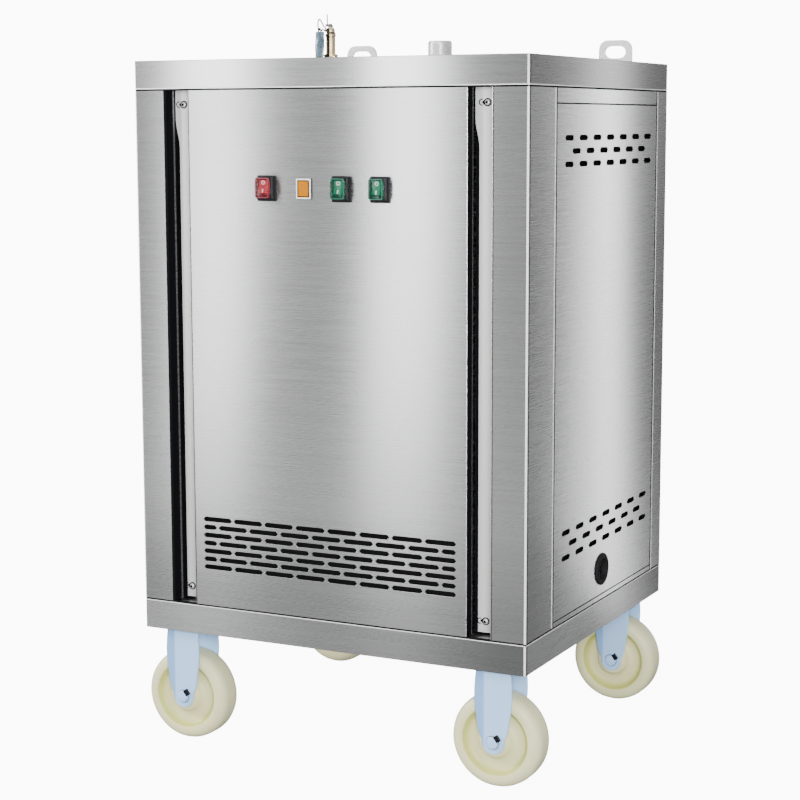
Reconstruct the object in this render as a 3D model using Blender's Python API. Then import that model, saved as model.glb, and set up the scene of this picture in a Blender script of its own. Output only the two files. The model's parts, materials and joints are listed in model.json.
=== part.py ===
"""Steam cleaner: a stainless cabinet on four fixed castors, with its boiler, tank and pump inside.

Metres, +Z up, floor at z = 0, origin on the floor under the cabinet's centre, front towards -Y.
"""
import math

import bmesh
import bpy
from mathutils import Matrix, Vector

for old in list(bpy.data.objects):
    bpy.data.objects.remove(old, do_unlink=True)

# ---------------------------------------------------------------- driving dimensions
WIDTH = 0.680                # cabinet across the front
DEPTH = 0.610                # cabinet front to rear
BASE_Z = 0.190               # underside of the plinth above the floor
BODY_H = 0.924               # underside of the plinth to the top of the cap
PLINTH_H = 0.0485            # skirt of the base tray
CAP_H = 0.0455               # skirt of the top cover
SHEET = 0.0015               # thickness of the folded sheets
FLOOR_SHEET = 0.002          # thickness of the tray's floor
PAN_FLANGE = 0.036           # inward flange of the tray and of the cover
SEAM = 0.0012                # open joint between two sheets
GAP = 0.0004                 # clearance between touching pieces

WHEEL_R = 0.075
WHEEL_W = 0.050
CASTOR_X = 0.280
CASTOR_Y = 0.258

POST_FRONT_X = 0.282         # inner edge of a front post's face
PANEL_X = 0.242              # side edge of the front panel
CHANNEL_DEPTH = 0.034        # front face to the post's web
STRIP_RECESS = 0.024         # front face to the strip's face
SIDE_FRONT = 0.106           # front post's width on the side face
SIDE_REAR = 0.051            # rear post's width on the side and rear faces
RAIL_TOP_H = 0.0253
RAIL_LOW_H = 0.0092

SWITCH_Z = BASE_Z + 0.7255   # middle of the row of switches
SWITCH_X = {"red": -0.0985, "green_left": 0.033, "green_right": 0.0985}
LAMP_X = -0.033

SWITCH_BODY = (0.0130, 0.0160)   # half width and half height behind the panel
SWITCH_POCKET = (0.0113, 0.0146)
LAMP_BODY = (0.0110, 0.0135)
ROCKER_PIVOT = 0.0030        # behind the panel's face
ROCKER_TILT = math.radians(10)

FORK_PLATE = (0.0525, 0.0335)         # half length and half width of a castor's plate
FORK_PLATE_T = 0.004
FORK_IN = 0.0285             # wheel's middle to the inner face of a leg
FORK_OUT = 0.0325
AXLE_R = 0.0060
HUB_BORE_R = 0.0061

OUTLET = Vector((0.0, 0.112, 0.0))
OUTLET_R = 0.0210
VALVE = Vector((-0.2115, 0.112, 0.0))
VALVE_TAIL_R = 0.0100
LUG_X = 0.2475
BUSH_Y = 0.013
BUSH_ABOVE_BASE = 0.1005
BUSH_NECK_R = 0.0210
VENT_MIDDLE_Y = 0.0313       # middle of the side panel's rows of vents
SCREW_X = 0.264
SCREW_IN = 0.0236            # strip screws below the cap and above the plinth
HEADER_DROP = 0.060          # steam header below the top

BOILER = Vector((-0.140, 0.060, 0.0))
BOILER_R = 0.130
BOILER_H = 0.560
SKIRT_H = 0.080
FEED_PORT_Z = 0.140
TANK = Vector((0.190, 0.110, 0.0))
TANK_SIZE = (0.100, 0.150, 0.340)    # half width, half depth, height
FLOAT_ANGLE = math.radians(-28)
PUMP = Vector((0.190, -0.150, 0.0))
PUMP_Z = 0.060               # pump's shaft and the tank's spigot above the deck
PUMP_LEN = 0.150
PUMP_HEAD = 0.020

# ---------------------------------------------------------------- derived heights
TOP_Z = BASE_Z + BODY_H
PLINTH_TOP = BASE_Z + PLINTH_H
CAP_LOW = TOP_Z - CAP_H
SHEET_LOW = PLINTH_TOP + SEAM
SHEET_TOP = CAP_LOW - SEAM
DECK_Z = BASE_Z + FLOOR_SHEET + GAP
FRONT = -DEPTH / 2
REAR = DEPTH / 2
SIDE = WIDTH / 2
SIDE_Y0 = FRONT + SIDE_FRONT
SIDE_Y1 = REAR - SIDE_REAR
STRIP_LOW = PLINTH_TOP + 0.006
SCREW_ZS = (CAP_LOW - SCREW_IN, PLINTH_TOP + SCREW_IN)
BUSH_Z = BASE_Z + BUSH_ABOVE_BASE
HEADER_Z = TOP_Z - HEADER_DROP
FLOAT_AT = Vector((TANK.x, TANK.y + 0.128, DECK_Z + 0.290))
SPIGOT_X = PUMP.x - TANK.x - PUMP_LEN / 2 - PUMP_HEAD / 2


# ---------------------------------------------------------------- materials
def material(name, colour, metallic, roughness, alpha=1.0):
    made = bpy.data.materials.new(name)
    made.use_nodes = True
    shader = made.node_tree.nodes["Principled BSDF"]
    shader.inputs["Base Color"].default_value = (*colour, 1.0)
    shader.inputs["Metallic"].default_value = metallic
    shader.inputs["Roughness"].default_value = roughness
    shader.inputs["Alpha"].default_value = alpha
    return made


STAINLESS = material("brushed_stainless", (0.62, 0.62, 0.61), 1.0, 0.32)
SATIN = material("satin_strip", (0.74, 0.74, 0.73), 1.0, 0.28)
ZINC = material("zinc_plate", (0.62, 0.68, 0.78), 0.8, 0.35)
NYLON = material("cream_nylon", (0.78, 0.76, 0.58), 0.0, 0.45)
BRASS = material("brass", (0.72, 0.55, 0.27), 1.0, 0.28)
BLACK = material("black_plastic", (0.015, 0.015, 0.017), 0.0, 0.4)
RED = material("red_rocker", (0.60, 0.03, 0.05), 0.0, 0.3)
GREEN = material("green_rocker", (0.02, 0.35, 0.16), 0.0, 0.3)
AMBER = material("amber_lens", (0.95, 0.50, 0.05), 0.0, 0.2, 0.9)
WHITE = material("white_bezel", (0.85, 0.85, 0.83), 0.0, 0.4)
RUBBER = material("black_rubber", (0.02, 0.02, 0.02), 0.0, 0.7)
TAG = material("tag_plastic", (0.35, 0.47, 0.58), 0.0, 0.5)
COPPER = material("copper_tube", (0.75, 0.42, 0.28), 1.0, 0.35)
TANK_PLASTIC = material("tank_plastic", (0.80, 0.82, 0.80), 0.0, 0.5)
CAST = material("pump_casting", (0.18, 0.20, 0.22), 0.4, 0.55)
ENAMEL = material("box_enamel", (0.66, 0.67, 0.66), 0.0, 0.5)


# ---------------------------------------------------------------- modelling helpers
def finish(name, mesh, at, coat):
    """Makes the closed mesh an object at its own origin, faces outward, round sides smooth."""
    bmesh.ops.recalc_face_normals(mesh, faces=mesh.faces)
    data = bpy.data.meshes.new(name)
    mesh.to_mesh(data)
    mesh.free()
    data.shade_smooth()
    data.set_sharp_from_angle(angle=math.radians(35))
    made = bpy.data.objects.new(name, data)
    made.location = at
    made.data.materials.append(coat)
    bpy.context.collection.objects.link(made)
    return made


def skin(mesh, loops, closed=False):
    """Joins equal loops of points with quads, and caps the two ends unless the row is closed."""
    rows = [[mesh.verts.new(point) for point in loop] for loop in loops]
    count = len(rows[0])
    pairs = list(zip(rows, rows[1:]))
    if closed:
        pairs.append((rows[-1], rows[0]))
    for low, high in pairs:
        for i in range(count):
            j = (i + 1) % count
            mesh.faces.new((low[i], low[j], high[j], high[i]))
    if not closed:
        mesh.faces.new(rows[0])
        mesh.faces.new(rows[-1])


def place(axis, u, v, w):
    """A point from outline coordinates u, v and height w along the axis."""
    return {"X": (w, u, v), "Y": (u, w, v), "Z": (u, v, w)}[axis]


def prism(mesh, outline, axis, low, high):
    skin(mesh, [[place(axis, u, v, w) for u, v in outline] for w in (low, high)])


def box(mesh, low, high):
    prism(mesh, [(low[0], low[1]), (high[0], low[1]), (high[0], high[1]), (low[0], high[1])],
          "Z", low[2], high[2])


def rectangle(half_u, half_v, corner=0.0):
    """A rectangle's outline, its corners cut at 45 degrees when corner is given."""
    if not corner:
        return [(-half_u, -half_v), (half_u, -half_v), (half_u, half_v), (-half_u, half_v)]
    a, b = half_u - corner, half_v - corner
    return [(-a, -half_v), (a, -half_v), (half_u, -b), (half_u, b),
            (a, half_v), (-a, half_v), (-half_u, b), (-half_u, -b)]


def obround(centre_u, centre_v, length, height, steps=2):
    """A slot's outline along u, with round ends."""
    reach = (length - height) / 2
    points = []
    for side, start in ((1, -math.pi / 2), (-1, math.pi / 2)):
        for i in range(steps + 1):
            turn = start + math.pi * i / steps
            points.append((centre_u + side * reach + height / 2 * math.cos(turn),
                           centre_v + height / 2 * math.sin(turn)))
    return points


def folded(path, thickness, hand=1):
    """Outline of a folded sheet: the path is its outer skin, the metal lies to the right of it."""
    inner = []
    for i, point in enumerate(path):
        here = Vector(point)
        normals = []
        for a, b in ((i - 1, i), (i, i + 1)):
            if 0 <= a and b < len(path):
                run = (Vector(path[b]) - Vector(path[a])).normalized()
                normals.append(Vector((run.y, -run.x)) * hand)
        mitre = sum(normals, Vector((0, 0)))
        if len(normals) == 2:
            mitre = mitre / (1 + normals[0].dot(normals[1]))
        inner.append(here + mitre * thickness)
    return [tuple(p) for p in path] + [tuple(p) for p in reversed(inner)]


def ring_radius(kind, radius, turn):
    """Radius at an angle: round, or a hexagon whose half width across flats is the radius."""
    if kind == "round":
        return radius
    return radius / math.cos((turn + math.pi / 6) % (math.pi / 3) - math.pi / 6)


def turned(mesh, profile, sides, axis="Z", closed=False, centre=(0.0, 0.0)):
    """Turns (radius, height, kind) sections about the axis. A closed profile has a bore."""
    loops = []
    for section in profile:
        radius, height = section[:2]
        kind = section[2] if len(section) > 2 else "round"
        loop = []
        for i in range(sides):
            turn = 2 * math.pi * i / sides
            r = ring_radius(kind, radius, turn)
            loop.append(place(axis, centre[0] + r * math.cos(turn),
                              centre[1] + r * math.sin(turn), height))
        loops.append(loop)
    skin(mesh, loops, closed)


def tube(mesh, route, radius, sides, bore=0.0):
    """Sweeps a round section along the route; with a bore it is an open pipe."""
    points = [Vector(p) for p in route]
    up = Vector((0.13, 0.31, 0.94)).normalized()
    frames = []
    for i, point in enumerate(points):
        ahead = points[min(i + 1, len(points) - 1)] - points[max(i - 1, 0)]
        ahead.normalize()
        across = ahead.cross(up).normalized()
        up = across.cross(ahead).normalized()
        frames.append((point, across, up))

    def loops(r, order):
        return [[tuple(p + a * (r * math.cos(2 * math.pi * k / sides))
                       + b * (r * math.sin(2 * math.pi * k / sides))) for k in range(sides)]
                for p, a, b in order]

    if bore:
        skin(mesh, loops(radius, frames) + loops(bore, frames[::-1]), closed=True)
    else:
        skin(mesh, loops(radius, frames))


def rounded_route(corners, bend, steps=4):
    """A route through the corners, each one rounded to the bend radius."""
    points = [Vector(corners[0])]
    for before, here, after in zip(corners, corners[1:], corners[2:]):
        a, b, c = Vector(before), Vector(here), Vector(after)
        back, on = (a - b).normalized(), (c - b).normalized()
        half = back.angle(on) / 2
        reach = bend / math.tan(half)
        middle = b + (back + on).normalized() * (bend / math.sin(half))
        start = (b + back * reach - middle).normalized()
        end = (b + on * reach - middle).normalized()
        for i in range(steps + 1):
            points.append(middle + start.slerp(end, i / steps) * bend)
    points.append(Vector(corners[-1]))
    return points


def part(name, coat, at=(0, 0, 0)):
    """Starts one piece: returns its empty mesh and the call that makes it an object."""
    mesh = bmesh.new()
    return mesh, lambda: finish(name, mesh, at, coat)


def boolean(target, tool, operation):
    """Cuts the tool from the target, or joins it; the tool stays as a hidden guide."""
    tool.hide_render = True
    tool.display_type = "WIRE"
    step = target.modifiers.new(operation.lower(), "BOOLEAN")
    step.operation = operation
    step.object = tool
    step.solver = "EXACT"


def tool_mesh(name, build, at=(0, 0, 0)):
    """A hidden guide object whose mesh the build function fills."""
    mesh = bmesh.new()
    build(mesh)
    return finish(name, mesh, at, BLACK)


def cut(target, build, name):
    boolean(target, tool_mesh("cutter_" + name, build, target.location), "DIFFERENCE")


def join(target, build, name):
    boolean(target, tool_mesh("joined_" + name, build, target.location), "UNION")


# ---------------------------------------------------------------- cabinet
def pan(name, floor, height, upright):
    """A pan with a skirt and an inward flange round its mouth, mouth up or mouth down."""
    mesh, make = part(name, STAINLESS, (0, 0, BASE_Z if upright else TOP_Z))
    flip = 1 if upright else -1

    def level(half_x, half_y, z):
        return [(x, y, flip * z) for x, y in rectangle(half_x, half_y)]

    inside_x, inside_y = SIDE - SHEET, REAR - SHEET
    mouth_x, mouth_y = SIDE - PAN_FLANGE, REAR - PAN_FLANGE
    skin(mesh, [level(SIDE, REAR, 0), level(SIDE, REAR, height),
                level(mouth_x, mouth_y, height), level(mouth_x, mouth_y, height - SHEET),
                level(inside_x, inside_y, height - SHEET), level(inside_x, inside_y, floor)])
    return make()


def base_tray():
    pan("base_tray", FLOOR_SHEET, PLINTH_H, True)


def top_cover():
    cover = pan("top_cover", SHEET, CAP_H, False)

    def holes(mesh):
        for at, radius in ((OUTLET, OUTLET_R + GAP), (VALVE, VALVE_TAIL_R + GAP)):
            turned(mesh, [(radius, -0.02), (radius, 0.02)], 24, centre=(at.x, at.y))

    cut(cover, holes, "top_cover")


def sheet_up(name, path, hand, low=SHEET_LOW, high=SHEET_TOP, coat=STAINLESS):
    """A sheet folded in plan and standing between two heights."""
    mesh, make = part(name, coat, (0, 0, low))
    prism(mesh, folded(path, SHEET, hand), "Z", 0, high - low)
    return make()


def mirrored(path, side):
    return [(side * x, y) for x, y in path]


def front_post(name, side):
    """Corner post whose sheet goes on round the channel: its outer wall and its web."""
    path = [(SIDE - 0.012, SIDE_Y0 - SEAM / 2), (SIDE, SIDE_Y0 - SEAM / 2), (SIDE, FRONT),
            (POST_FRONT_X, FRONT), (POST_FRONT_X, FRONT + CHANNEL_DEPTH),
            (PANEL_X - 0.006, FRONT + CHANNEL_DEPTH)]
    post = sheet_up(name, mirrored(path, side), side)

    def screw_holes(mesh):
        for z in SCREW_ZS:
            turned(mesh, [(0.0029, FRONT + 0.030), (0.0029, FRONT + 0.040)], 12, "Y",
                   centre=(side * SCREW_X, z - SHEET_LOW))

    cut(post, screw_holes, name)


def rear_post(name, side):
    path = [(SIDE - 0.012, SIDE_Y1 + SEAM / 2), (SIDE, SIDE_Y1 + SEAM / 2), (SIDE, REAR),
            (SIDE - SIDE_REAR, REAR), (SIDE - SIDE_REAR, REAR - 0.012)]
    sheet_up(name, mirrored(path, side), -side)


def slot_rows(mesh, axis, rows, low, high, centre=0.0, base=0.0):
    """Cutters for rows of slots: each row is (height, [(centre, length), ...], slot height)."""
    for z, slots, height in rows:
        for middle, length in slots:
            prism(mesh, obround(centre + middle, z - base, length, height), axis, low, high)


def front_vents():
    """Seven rows of long slots, every other row shifted by half a slot."""
    rows_n, long, half, bridge, height = 7, 0.0533, 0.0250, 0.0034, 0.0076
    top, pitch = BASE_Z + 0.1925, 0.01308
    whole = 8 * long + 7 * bridge
    for r in range(rows_n):
        if r % 2 == 0:
            lengths = [long] * 8
        else:
            lengths = [half] + [long] * 7 + [half]
        bridge_here = (whole - sum(lengths)) / (len(lengths) - 1)
        slots, x = [], -whole / 2
        for length in lengths:
            slots.append((x + length / 2, length))
            x += length + bridge_here
        yield top - r * pitch, slots, height


def side_vents():
    """Two groups of three staggered rows: seven, six and seven slots."""
    length, height, pitch, row_gap = 0.036, 0.0085, 0.0590, 0.0200
    for middle_row in (0.1712, 0.7821):
        for step, count in ((-1, 7), (0, 6), (1, 7)):
            slots = [((i - (count - 1) / 2) * pitch, length) for i in range(count)]
            yield BASE_Z + middle_row + step * row_gap, slots, height


def front_panel():
    reach = 0.022
    path = [(PANEL_X - 0.015, FRONT + reach), (PANEL_X, FRONT + reach), (PANEL_X, FRONT),
            (-PANEL_X, FRONT), (-PANEL_X, FRONT + reach), (-PANEL_X + 0.015, FRONT + reach)]
    panel = sheet_up("front_panel", path, 1)

    def openings(mesh):
        slot_rows(mesh, "Y", front_vents(), FRONT - 0.01, FRONT + 0.01, base=SHEET_LOW)
        for x in SWITCH_X.values():
            outline = rectangle(SWITCH_BODY[0] + 0.0003, SWITCH_BODY[1] + 0.0003)
            prism(mesh, [(x + u, SWITCH_Z - SHEET_LOW + v) for u, v in outline], "Y",
                  FRONT - 0.01, FRONT + 0.01)
        outline = rectangle(LAMP_BODY[0] + 0.0003, LAMP_BODY[1] + 0.0003)
        prism(mesh, [(LAMP_X + u, SWITCH_Z - SHEET_LOW + v) for u, v in outline], "Y",
              FRONT - 0.01, FRONT + 0.01)

    cut(panel, openings, "front_panel")


def side_panel(name, side, bush_hole):
    low, high = PLINTH_TOP + RAIL_LOW_H + SEAM, CAP_LOW - RAIL_TOP_H
    path = [(SIDE - 0.015, SIDE_Y1 - SEAM / 2), (SIDE, SIDE_Y1 - SEAM / 2),
            (SIDE, SIDE_Y0 + SEAM / 2), (SIDE - 0.015, SIDE_Y0 + SEAM / 2)]
    panel = sheet_up(name, mirrored(path, side), side, low, high)

    def openings(mesh):
        slot_rows(mesh, "X", side_vents(), side * SIDE - 0.01, side * SIDE + 0.01,
                  VENT_MIDDLE_Y, low)
        if bush_hole:
            turned(mesh, [(BUSH_NECK_R + GAP, SIDE - 0.01), (BUSH_NECK_R + GAP, SIDE + 0.01)], 24,
                   "X", centre=(BUSH_Y, BUSH_Z - low))

    cut(panel, openings, name)


def rear_panel():
    edge = SIDE - SIDE_REAR - SEAM
    path = [(-edge, REAR - 0.015), (-edge, REAR), (edge, REAR), (edge, REAR - 0.015)]
    panel = sheet_up("rear_panel", path, 1)

    def openings(mesh):
        rows = [row for row in side_vents() if row[0] > 0.6]
        slot_rows(mesh, "Y", rows, REAR - 0.01, REAR + 0.01, base=SHEET_LOW)

    cut(panel, openings, "rear_panel")


def rail(name, side, low, high):
    """Angle between the posts, flush with the side panel."""
    mesh, make = part(name, STAINLESS, (0, 0, 0))
    path = [(SIDE - 0.020, low), (SIDE, low), (SIDE, high)]
    prism(mesh, folded(mirrored(path, side), SHEET, -side), "Y", SIDE_Y0 + SEAM / 2,
          SIDE_Y1 - SEAM / 2)
    make()


def rails():
    for word, side in (("right", 1), ("left", -1)):
        rail(f"rail_top_{word}", side, CAP_LOW - RAIL_TOP_H + SEAM, SHEET_TOP)
        rail(f"rail_bottom_{word}", side, SHEET_LOW, PLINTH_TOP + RAIL_LOW_H)


# ---------------------------------------------------------------- channel strips
def strip_outline(left, right):
    """Narrow strip whose left edge steps out in an S-curve to fill the channel at the top."""
    narrow, wide = left + 0.0087, left + 0.0022
    bend_low, bend_high, steps = SHEET_TOP - 0.090, SHEET_TOP - 0.045, 6
    points = [(narrow, STRIP_LOW), (right - GAP, STRIP_LOW), (right - GAP, SHEET_TOP)]
    points.append((wide, SHEET_TOP))
    for i in range(steps + 1):
        share = i / steps
        ease = (1 - math.cos(math.pi * share)) / 2
        points.append((wide + (narrow - wide) * ease, bend_high + (bend_low - bend_high) * share))
    return points


def channel_strips():
    for word, left, right in (("left", -POST_FRONT_X, -PANEL_X), ("right", PANEL_X, POST_FRONT_X)):
        mesh, make = part(f"channel_strip_{word}", SATIN, (0, FRONT + STRIP_RECESS, 0))
        prism(mesh, strip_outline(left, right), "Y", 0, SHEET)
        strip = make()
        side = -1 if word == "left" else 1

        def slots(cutter, middle=side * SCREW_X):
            for z in SCREW_ZS:
                prism(cutter, obround(middle - 0.0025, z, 0.0150, 0.0068), "Y", -0.01, 0.01)

        cut(strip, slots, f"strip_{word}")


def strip_screws():
    """Button-head screws through the strip's slots into the posts' webs."""
    profile = [(0.0024, 0.0150), (0.0024, 0.0), (0.0055, 0.0), (0.0055, -0.0010),
               (0.0040, -0.0028), (0.0020, -0.0033), (0.0020, -0.0015)]
    for word, side in (("left", -1), ("right", 1)):
        for place_word, z in zip(("top", "bottom"), SCREW_ZS):
            at = (side * SCREW_X, FRONT + STRIP_RECESS - GAP, z)
            mesh, make = part(f"strip_screw_{word}_{place_word}", SATIN, at)
            turned(mesh, profile, 12, "Y")
            make()


# ---------------------------------------------------------------- switches and lamp
def switch_housing(name, x):
    """Flange, raised collar and snap-in body round an open pocket."""
    mesh, make = part(name, BLACK, (x, FRONT, SWITCH_Z))
    sections = [(SWITCH_BODY, 0.0250), (SWITCH_BODY, -GAP), ((0.0165, 0.01975), -GAP),
                ((0.0165, 0.01975), -0.0022), ((0.0140, 0.0180), -0.0030),
                ((0.0135, 0.0175), -0.0085), (SWITCH_POCKET, -0.0085), (SWITCH_POCKET, 0.0235)]
    skin(mesh, [[(u, y, v) for u, v in rectangle(*size, 0.0006)] for size, y in sections])
    housing = make()

    def pin_holes(cutter):
        turned(cutter, [(0.0016, -0.02), (0.0016, 0.02)], 16, "X", centre=(ROCKER_PIVOT, 0))

    cut(housing, pin_holes, name)


def rocker(name, x, coat):
    """Shallow V rocker on two pins, top half pressed in."""
    at = (x, FRONT + ROCKER_PIVOT, SWITCH_Z)
    mesh, make = part(name, coat, at)
    half_h, nose, waist = 0.0122, 0.0125, 0.0100
    outline = [(0.0060, -0.0060), (-0.0040, -half_h), (-nose, -half_h), (-waist, 0.0),
               (-nose, half_h), (-0.0040, half_h), (0.0060, 0.0060)]
    tilt = Matrix.Rotation(-ROCKER_TILT, 2)
    prism(mesh, [tuple(tilt @ Vector(p)) for p in outline], "X", -0.0107, 0.0107)
    made = make()

    def pins(tool):
        turned(tool, [(0.00153, -0.0127), (0.00153, 0.0127)], 16, "X")

    join(made, pins, name)


def switches():
    for word, x in SWITCH_X.items():
        switch_housing(f"switch_housing_{word}", x)
        rocker(f"rocker_{word}", x, RED if word == "red" else GREEN)


def indicator():
    """Square pilot lamp: snap-in bezel with an open back, and its lens."""
    mesh, make = part("indicator_bezel", WHITE, (LAMP_X, FRONT, SWITCH_Z))
    sections = [(LAMP_BODY, 0.0220), (LAMP_BODY, -GAP), ((0.0130, 0.0155), -GAP),
                ((0.0130, 0.0155), -0.0029), ((0.0103, 0.0131), -0.0029),
                ((0.0103, 0.0131), 0.0020), ((0.0095, 0.0120), 0.0020), ((0.0095, 0.0120), 0.0220)]
    skin(mesh, [[(u, y, v) for u, v in rectangle(*size, 0.0008)] for size, y in sections],
         closed=True)
    make()
    mesh, make = part("indicator_lens", AMBER, (LAMP_X, FRONT, SWITCH_Z))
    sections = [((0.0100, 0.0128), 0.0020 - GAP), ((0.0100, 0.0128), -0.0028),
                ((0.0085, 0.0113), -0.0036)]
    skin(mesh, [[(u, y, v) for u, v in rectangle(*size, 0.0008)] for size, y in sections])
    make()


# ---------------------------------------------------------------- castors
def fork_leg():
    """Leg outline: slightly barrelled at the top, tapering to a round end about the axle."""
    plate_low = BASE_Z - GAP - FORK_PLATE_T - WHEEL_R
    points = [(0.0290, plate_low + 0.002), (0.0315, plate_low - 0.035)]
    end_r, start = 0.0185, math.radians(14)
    for i in range(5):
        turn = start - (math.pi / 2 + start) * i / 4
        points.append((end_r * math.cos(turn), end_r * math.sin(turn)))
    return points + [(-x, z) for x, z in reversed(points[:-1])]


def castor(word, x, y):
    axle_at = (x, y, WHEEL_R)
    mesh, make = part(f"castor_fork_{word}", ZINC, axle_at)
    top = BASE_Z - GAP - WHEEL_R
    half_x, half_y = FORK_PLATE
    box(mesh, (-half_x, -half_y, top - FORK_PLATE_T), (half_x, half_y, top))
    fork = make()

    def legs(tool):
        for low, high in ((-FORK_OUT, -FORK_IN), (FORK_IN, FORK_OUT)):
            prism(tool, fork_leg(), "Y", low, high)

    def axle_holes(cutter):
        turned(cutter, [(0.0064, -0.05), (0.0064, 0.05)], 16, "Y")

    join(fork, legs, f"fork_{word}")
    cut(fork, axle_holes, f"fork_{word}")

    mesh, make = part(f"castor_wheel_{word}", NYLON, axle_at)
    half, hub = WHEEL_W / 2, 0.0275
    recess = half - 0.0110
    near = [(HUB_BORE_R, hub), (0.0270, hub), (0.0300, recess), (0.0515, recess),
            (0.0560, half), (0.0690, half), (WHEEL_R, half - 0.0080)]
    far = [(r, -h) for r, h in reversed(near)]
    turned(mesh, near + far, 24, "Y", closed=True)
    make()

    mesh, make = part(f"castor_axle_{word}", ZINC, axle_at)
    head = -FORK_OUT - GAP
    turned(mesh, [(0.0050, head - 0.0050), (0.0090, head - 0.0035), (0.0090, head),
                  (AXLE_R, head), (AXLE_R, FORK_OUT + 0.0125), (0.0048, FORK_OUT + 0.0135)],
           16, "Y")
    make()

    mesh, make = part(f"castor_nut_{word}", ZINC, axle_at)
    low, high = FORK_OUT + GAP, FORK_OUT + 0.0104
    turned(mesh, [(0.0064, low), (0.0095, low, "hex"), (0.0095, high, "hex"), (0.0064, high)],
           12, "Y", closed=True)
    make()


def castors():
    for fore, y in (("front", -CASTOR_Y), ("rear", CASTOR_Y)):
        for word, x in (("left", -CASTOR_X), ("right", CASTOR_X)):
            castor(f"{fore}_{word}", x, y)


# ---------------------------------------------------------------- fittings on the cap
def lug(name, x):
    """Angle bracket with a round-cornered upright and an obround lifting hole."""
    half, height, thick, corner = 0.0305, 0.042, 0.004, 0.0165
    mesh, make = part(name, STAINLESS, (x, REAR - 0.004, TOP_Z + GAP))
    outline = [(-half, 0), (half, 0)]
    for centre, start in ((half - corner, 0.0), (-half + corner, math.pi / 2)):
        for i in range(6):
            turn = start + math.pi / 2 * i / 5
            outline.append((centre + corner * math.cos(turn),
                            height - corner + corner * math.sin(turn)))
    prism(mesh, outline, "Y", -thick, 0)
    made = make()
    join(made, lambda tool: box(tool, (-half, -0.030, 0), (half, -thick / 2, thick)), name)
    cut(made, lambda cutter: prism(cutter, obround(0, 0.0215, 0.0378, 0.0205, 5), "Y", -0.02, 0.02),
        name)


def steam_outlet():
    """Threaded stub with a hexagon base, its bore open down to the header."""
    mesh, make = part("steam_outlet", STAINLESS, (OUTLET.x, OUTLET.y, TOP_Z))
    low = HEADER_Z + 0.016 - TOP_Z
    turned(mesh, [(0.0160, low), (OUTLET_R - 0.0003, low), (OUTLET_R - 0.0003, GAP),
                  (0.0250, GAP, "hex"), (0.0250, 0.0130, "hex"), (OUTLET_R, 0.0130),
                  (OUTLET_R, 0.0380), (0.0200, 0.0395), (0.0160, 0.0395)], 24, closed=True)
    make()


def relief_valve():
    """Brass body with a blind guide bore, and the lift pin with its pull ring."""
    at = (VALVE.x, VALVE.y, TOP_Z)
    mesh, make = part("valve_body", BRASS, at)
    low = HEADER_Z + 0.014 - TOP_Z
    turned(mesh, [(VALVE_TAIL_R - 0.0003, low), (VALVE_TAIL_R - 0.0003, GAP),
                  (0.0110, GAP, "hex"), (0.0110, 0.0210, "hex"), (0.0080, 0.0210),
                  (0.0080, 0.0520), (0.0086, 0.0520), (0.0086, 0.0560), (0.0074, 0.0630),
                  (0.0060, 0.0670), (0.0024, 0.0670), (0.0024, 0.0400)], 18)
    make()
    mesh, make = part("valve_stem", SATIN, at)
    turned(mesh, [(0.0023, 0.0440), (0.0023, 0.0675), (0.0048, 0.0675), (0.0048, 0.0700),
                  (0.0030, 0.0710), (0.0030, 0.0735)], 16)
    stem = make()

    def eye_bar(tool):
        box(tool, (-0.0095, -0.0018, 0.0690), (0.0020, 0.0018, 0.0728))

    def pull_ring(tool):
        loops, major, minor, centre_z = [], 0.0085, 0.0011, 0.0812
        for i in range(16):
            turn = 2 * math.pi * i / 16
            loops.append([((major + minor * math.cos(a)) * math.cos(turn), minor * math.sin(a),
                           (major + minor * math.cos(a)) * math.sin(turn))
                          for a in (k * math.pi / 2 for k in range(4))])
        skin(tool, loops, closed=True)
        bmesh.ops.rotate(tool, verts=tool.verts, cent=(0, 0, 0),
                         matrix=Matrix.Rotation(math.radians(118), 3, "Z"))
        bmesh.ops.translate(tool, verts=tool.verts, vec=(-0.0065, 0, centre_z))

    join(stem, eye_bar, "stem_eye")
    join(stem, pull_ring, "stem_ring")


def valve_tag():
    """Blank plastic seal tag, slightly bowed, standing beside the valve."""
    mesh, make = part("valve_tag", TAG, (VALVE.x - 0.0205, VALVE.y - 0.004, TOP_Z))
    half_width, bow, steps = 0.0088, 0.0020, 6
    path = []
    for i in range(steps + 1):
        turn = math.radians(-90 + 180 * i / steps)
        path.append((half_width * math.sin(turn), bow * math.cos(turn)))
    prism(mesh, folded(path, 0.0012), "Z", 0.0010, 0.0610)
    make()


def cable_bush():
    """Rubber bush gripping the edge of the side panel's hole."""
    mesh, make = part("cable_bush", RUBBER, (SIDE, BUSH_Y, BUSH_Z))
    groove = (GAP, -SHEET - GAP)
    turned(mesh, [(0.0180, 0.0090), (0.0205, 0.0090), (0.0215, 0.0080), (0.0255, 0.0030),
                  (0.0260, groove[0]), (BUSH_NECK_R, groove[0]), (BUSH_NECK_R, groove[1]),
                  (0.0240, groove[1]), (0.0225, -0.0060), (0.0180, -0.0060)], 24, "X", closed=True)
    make()


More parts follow.
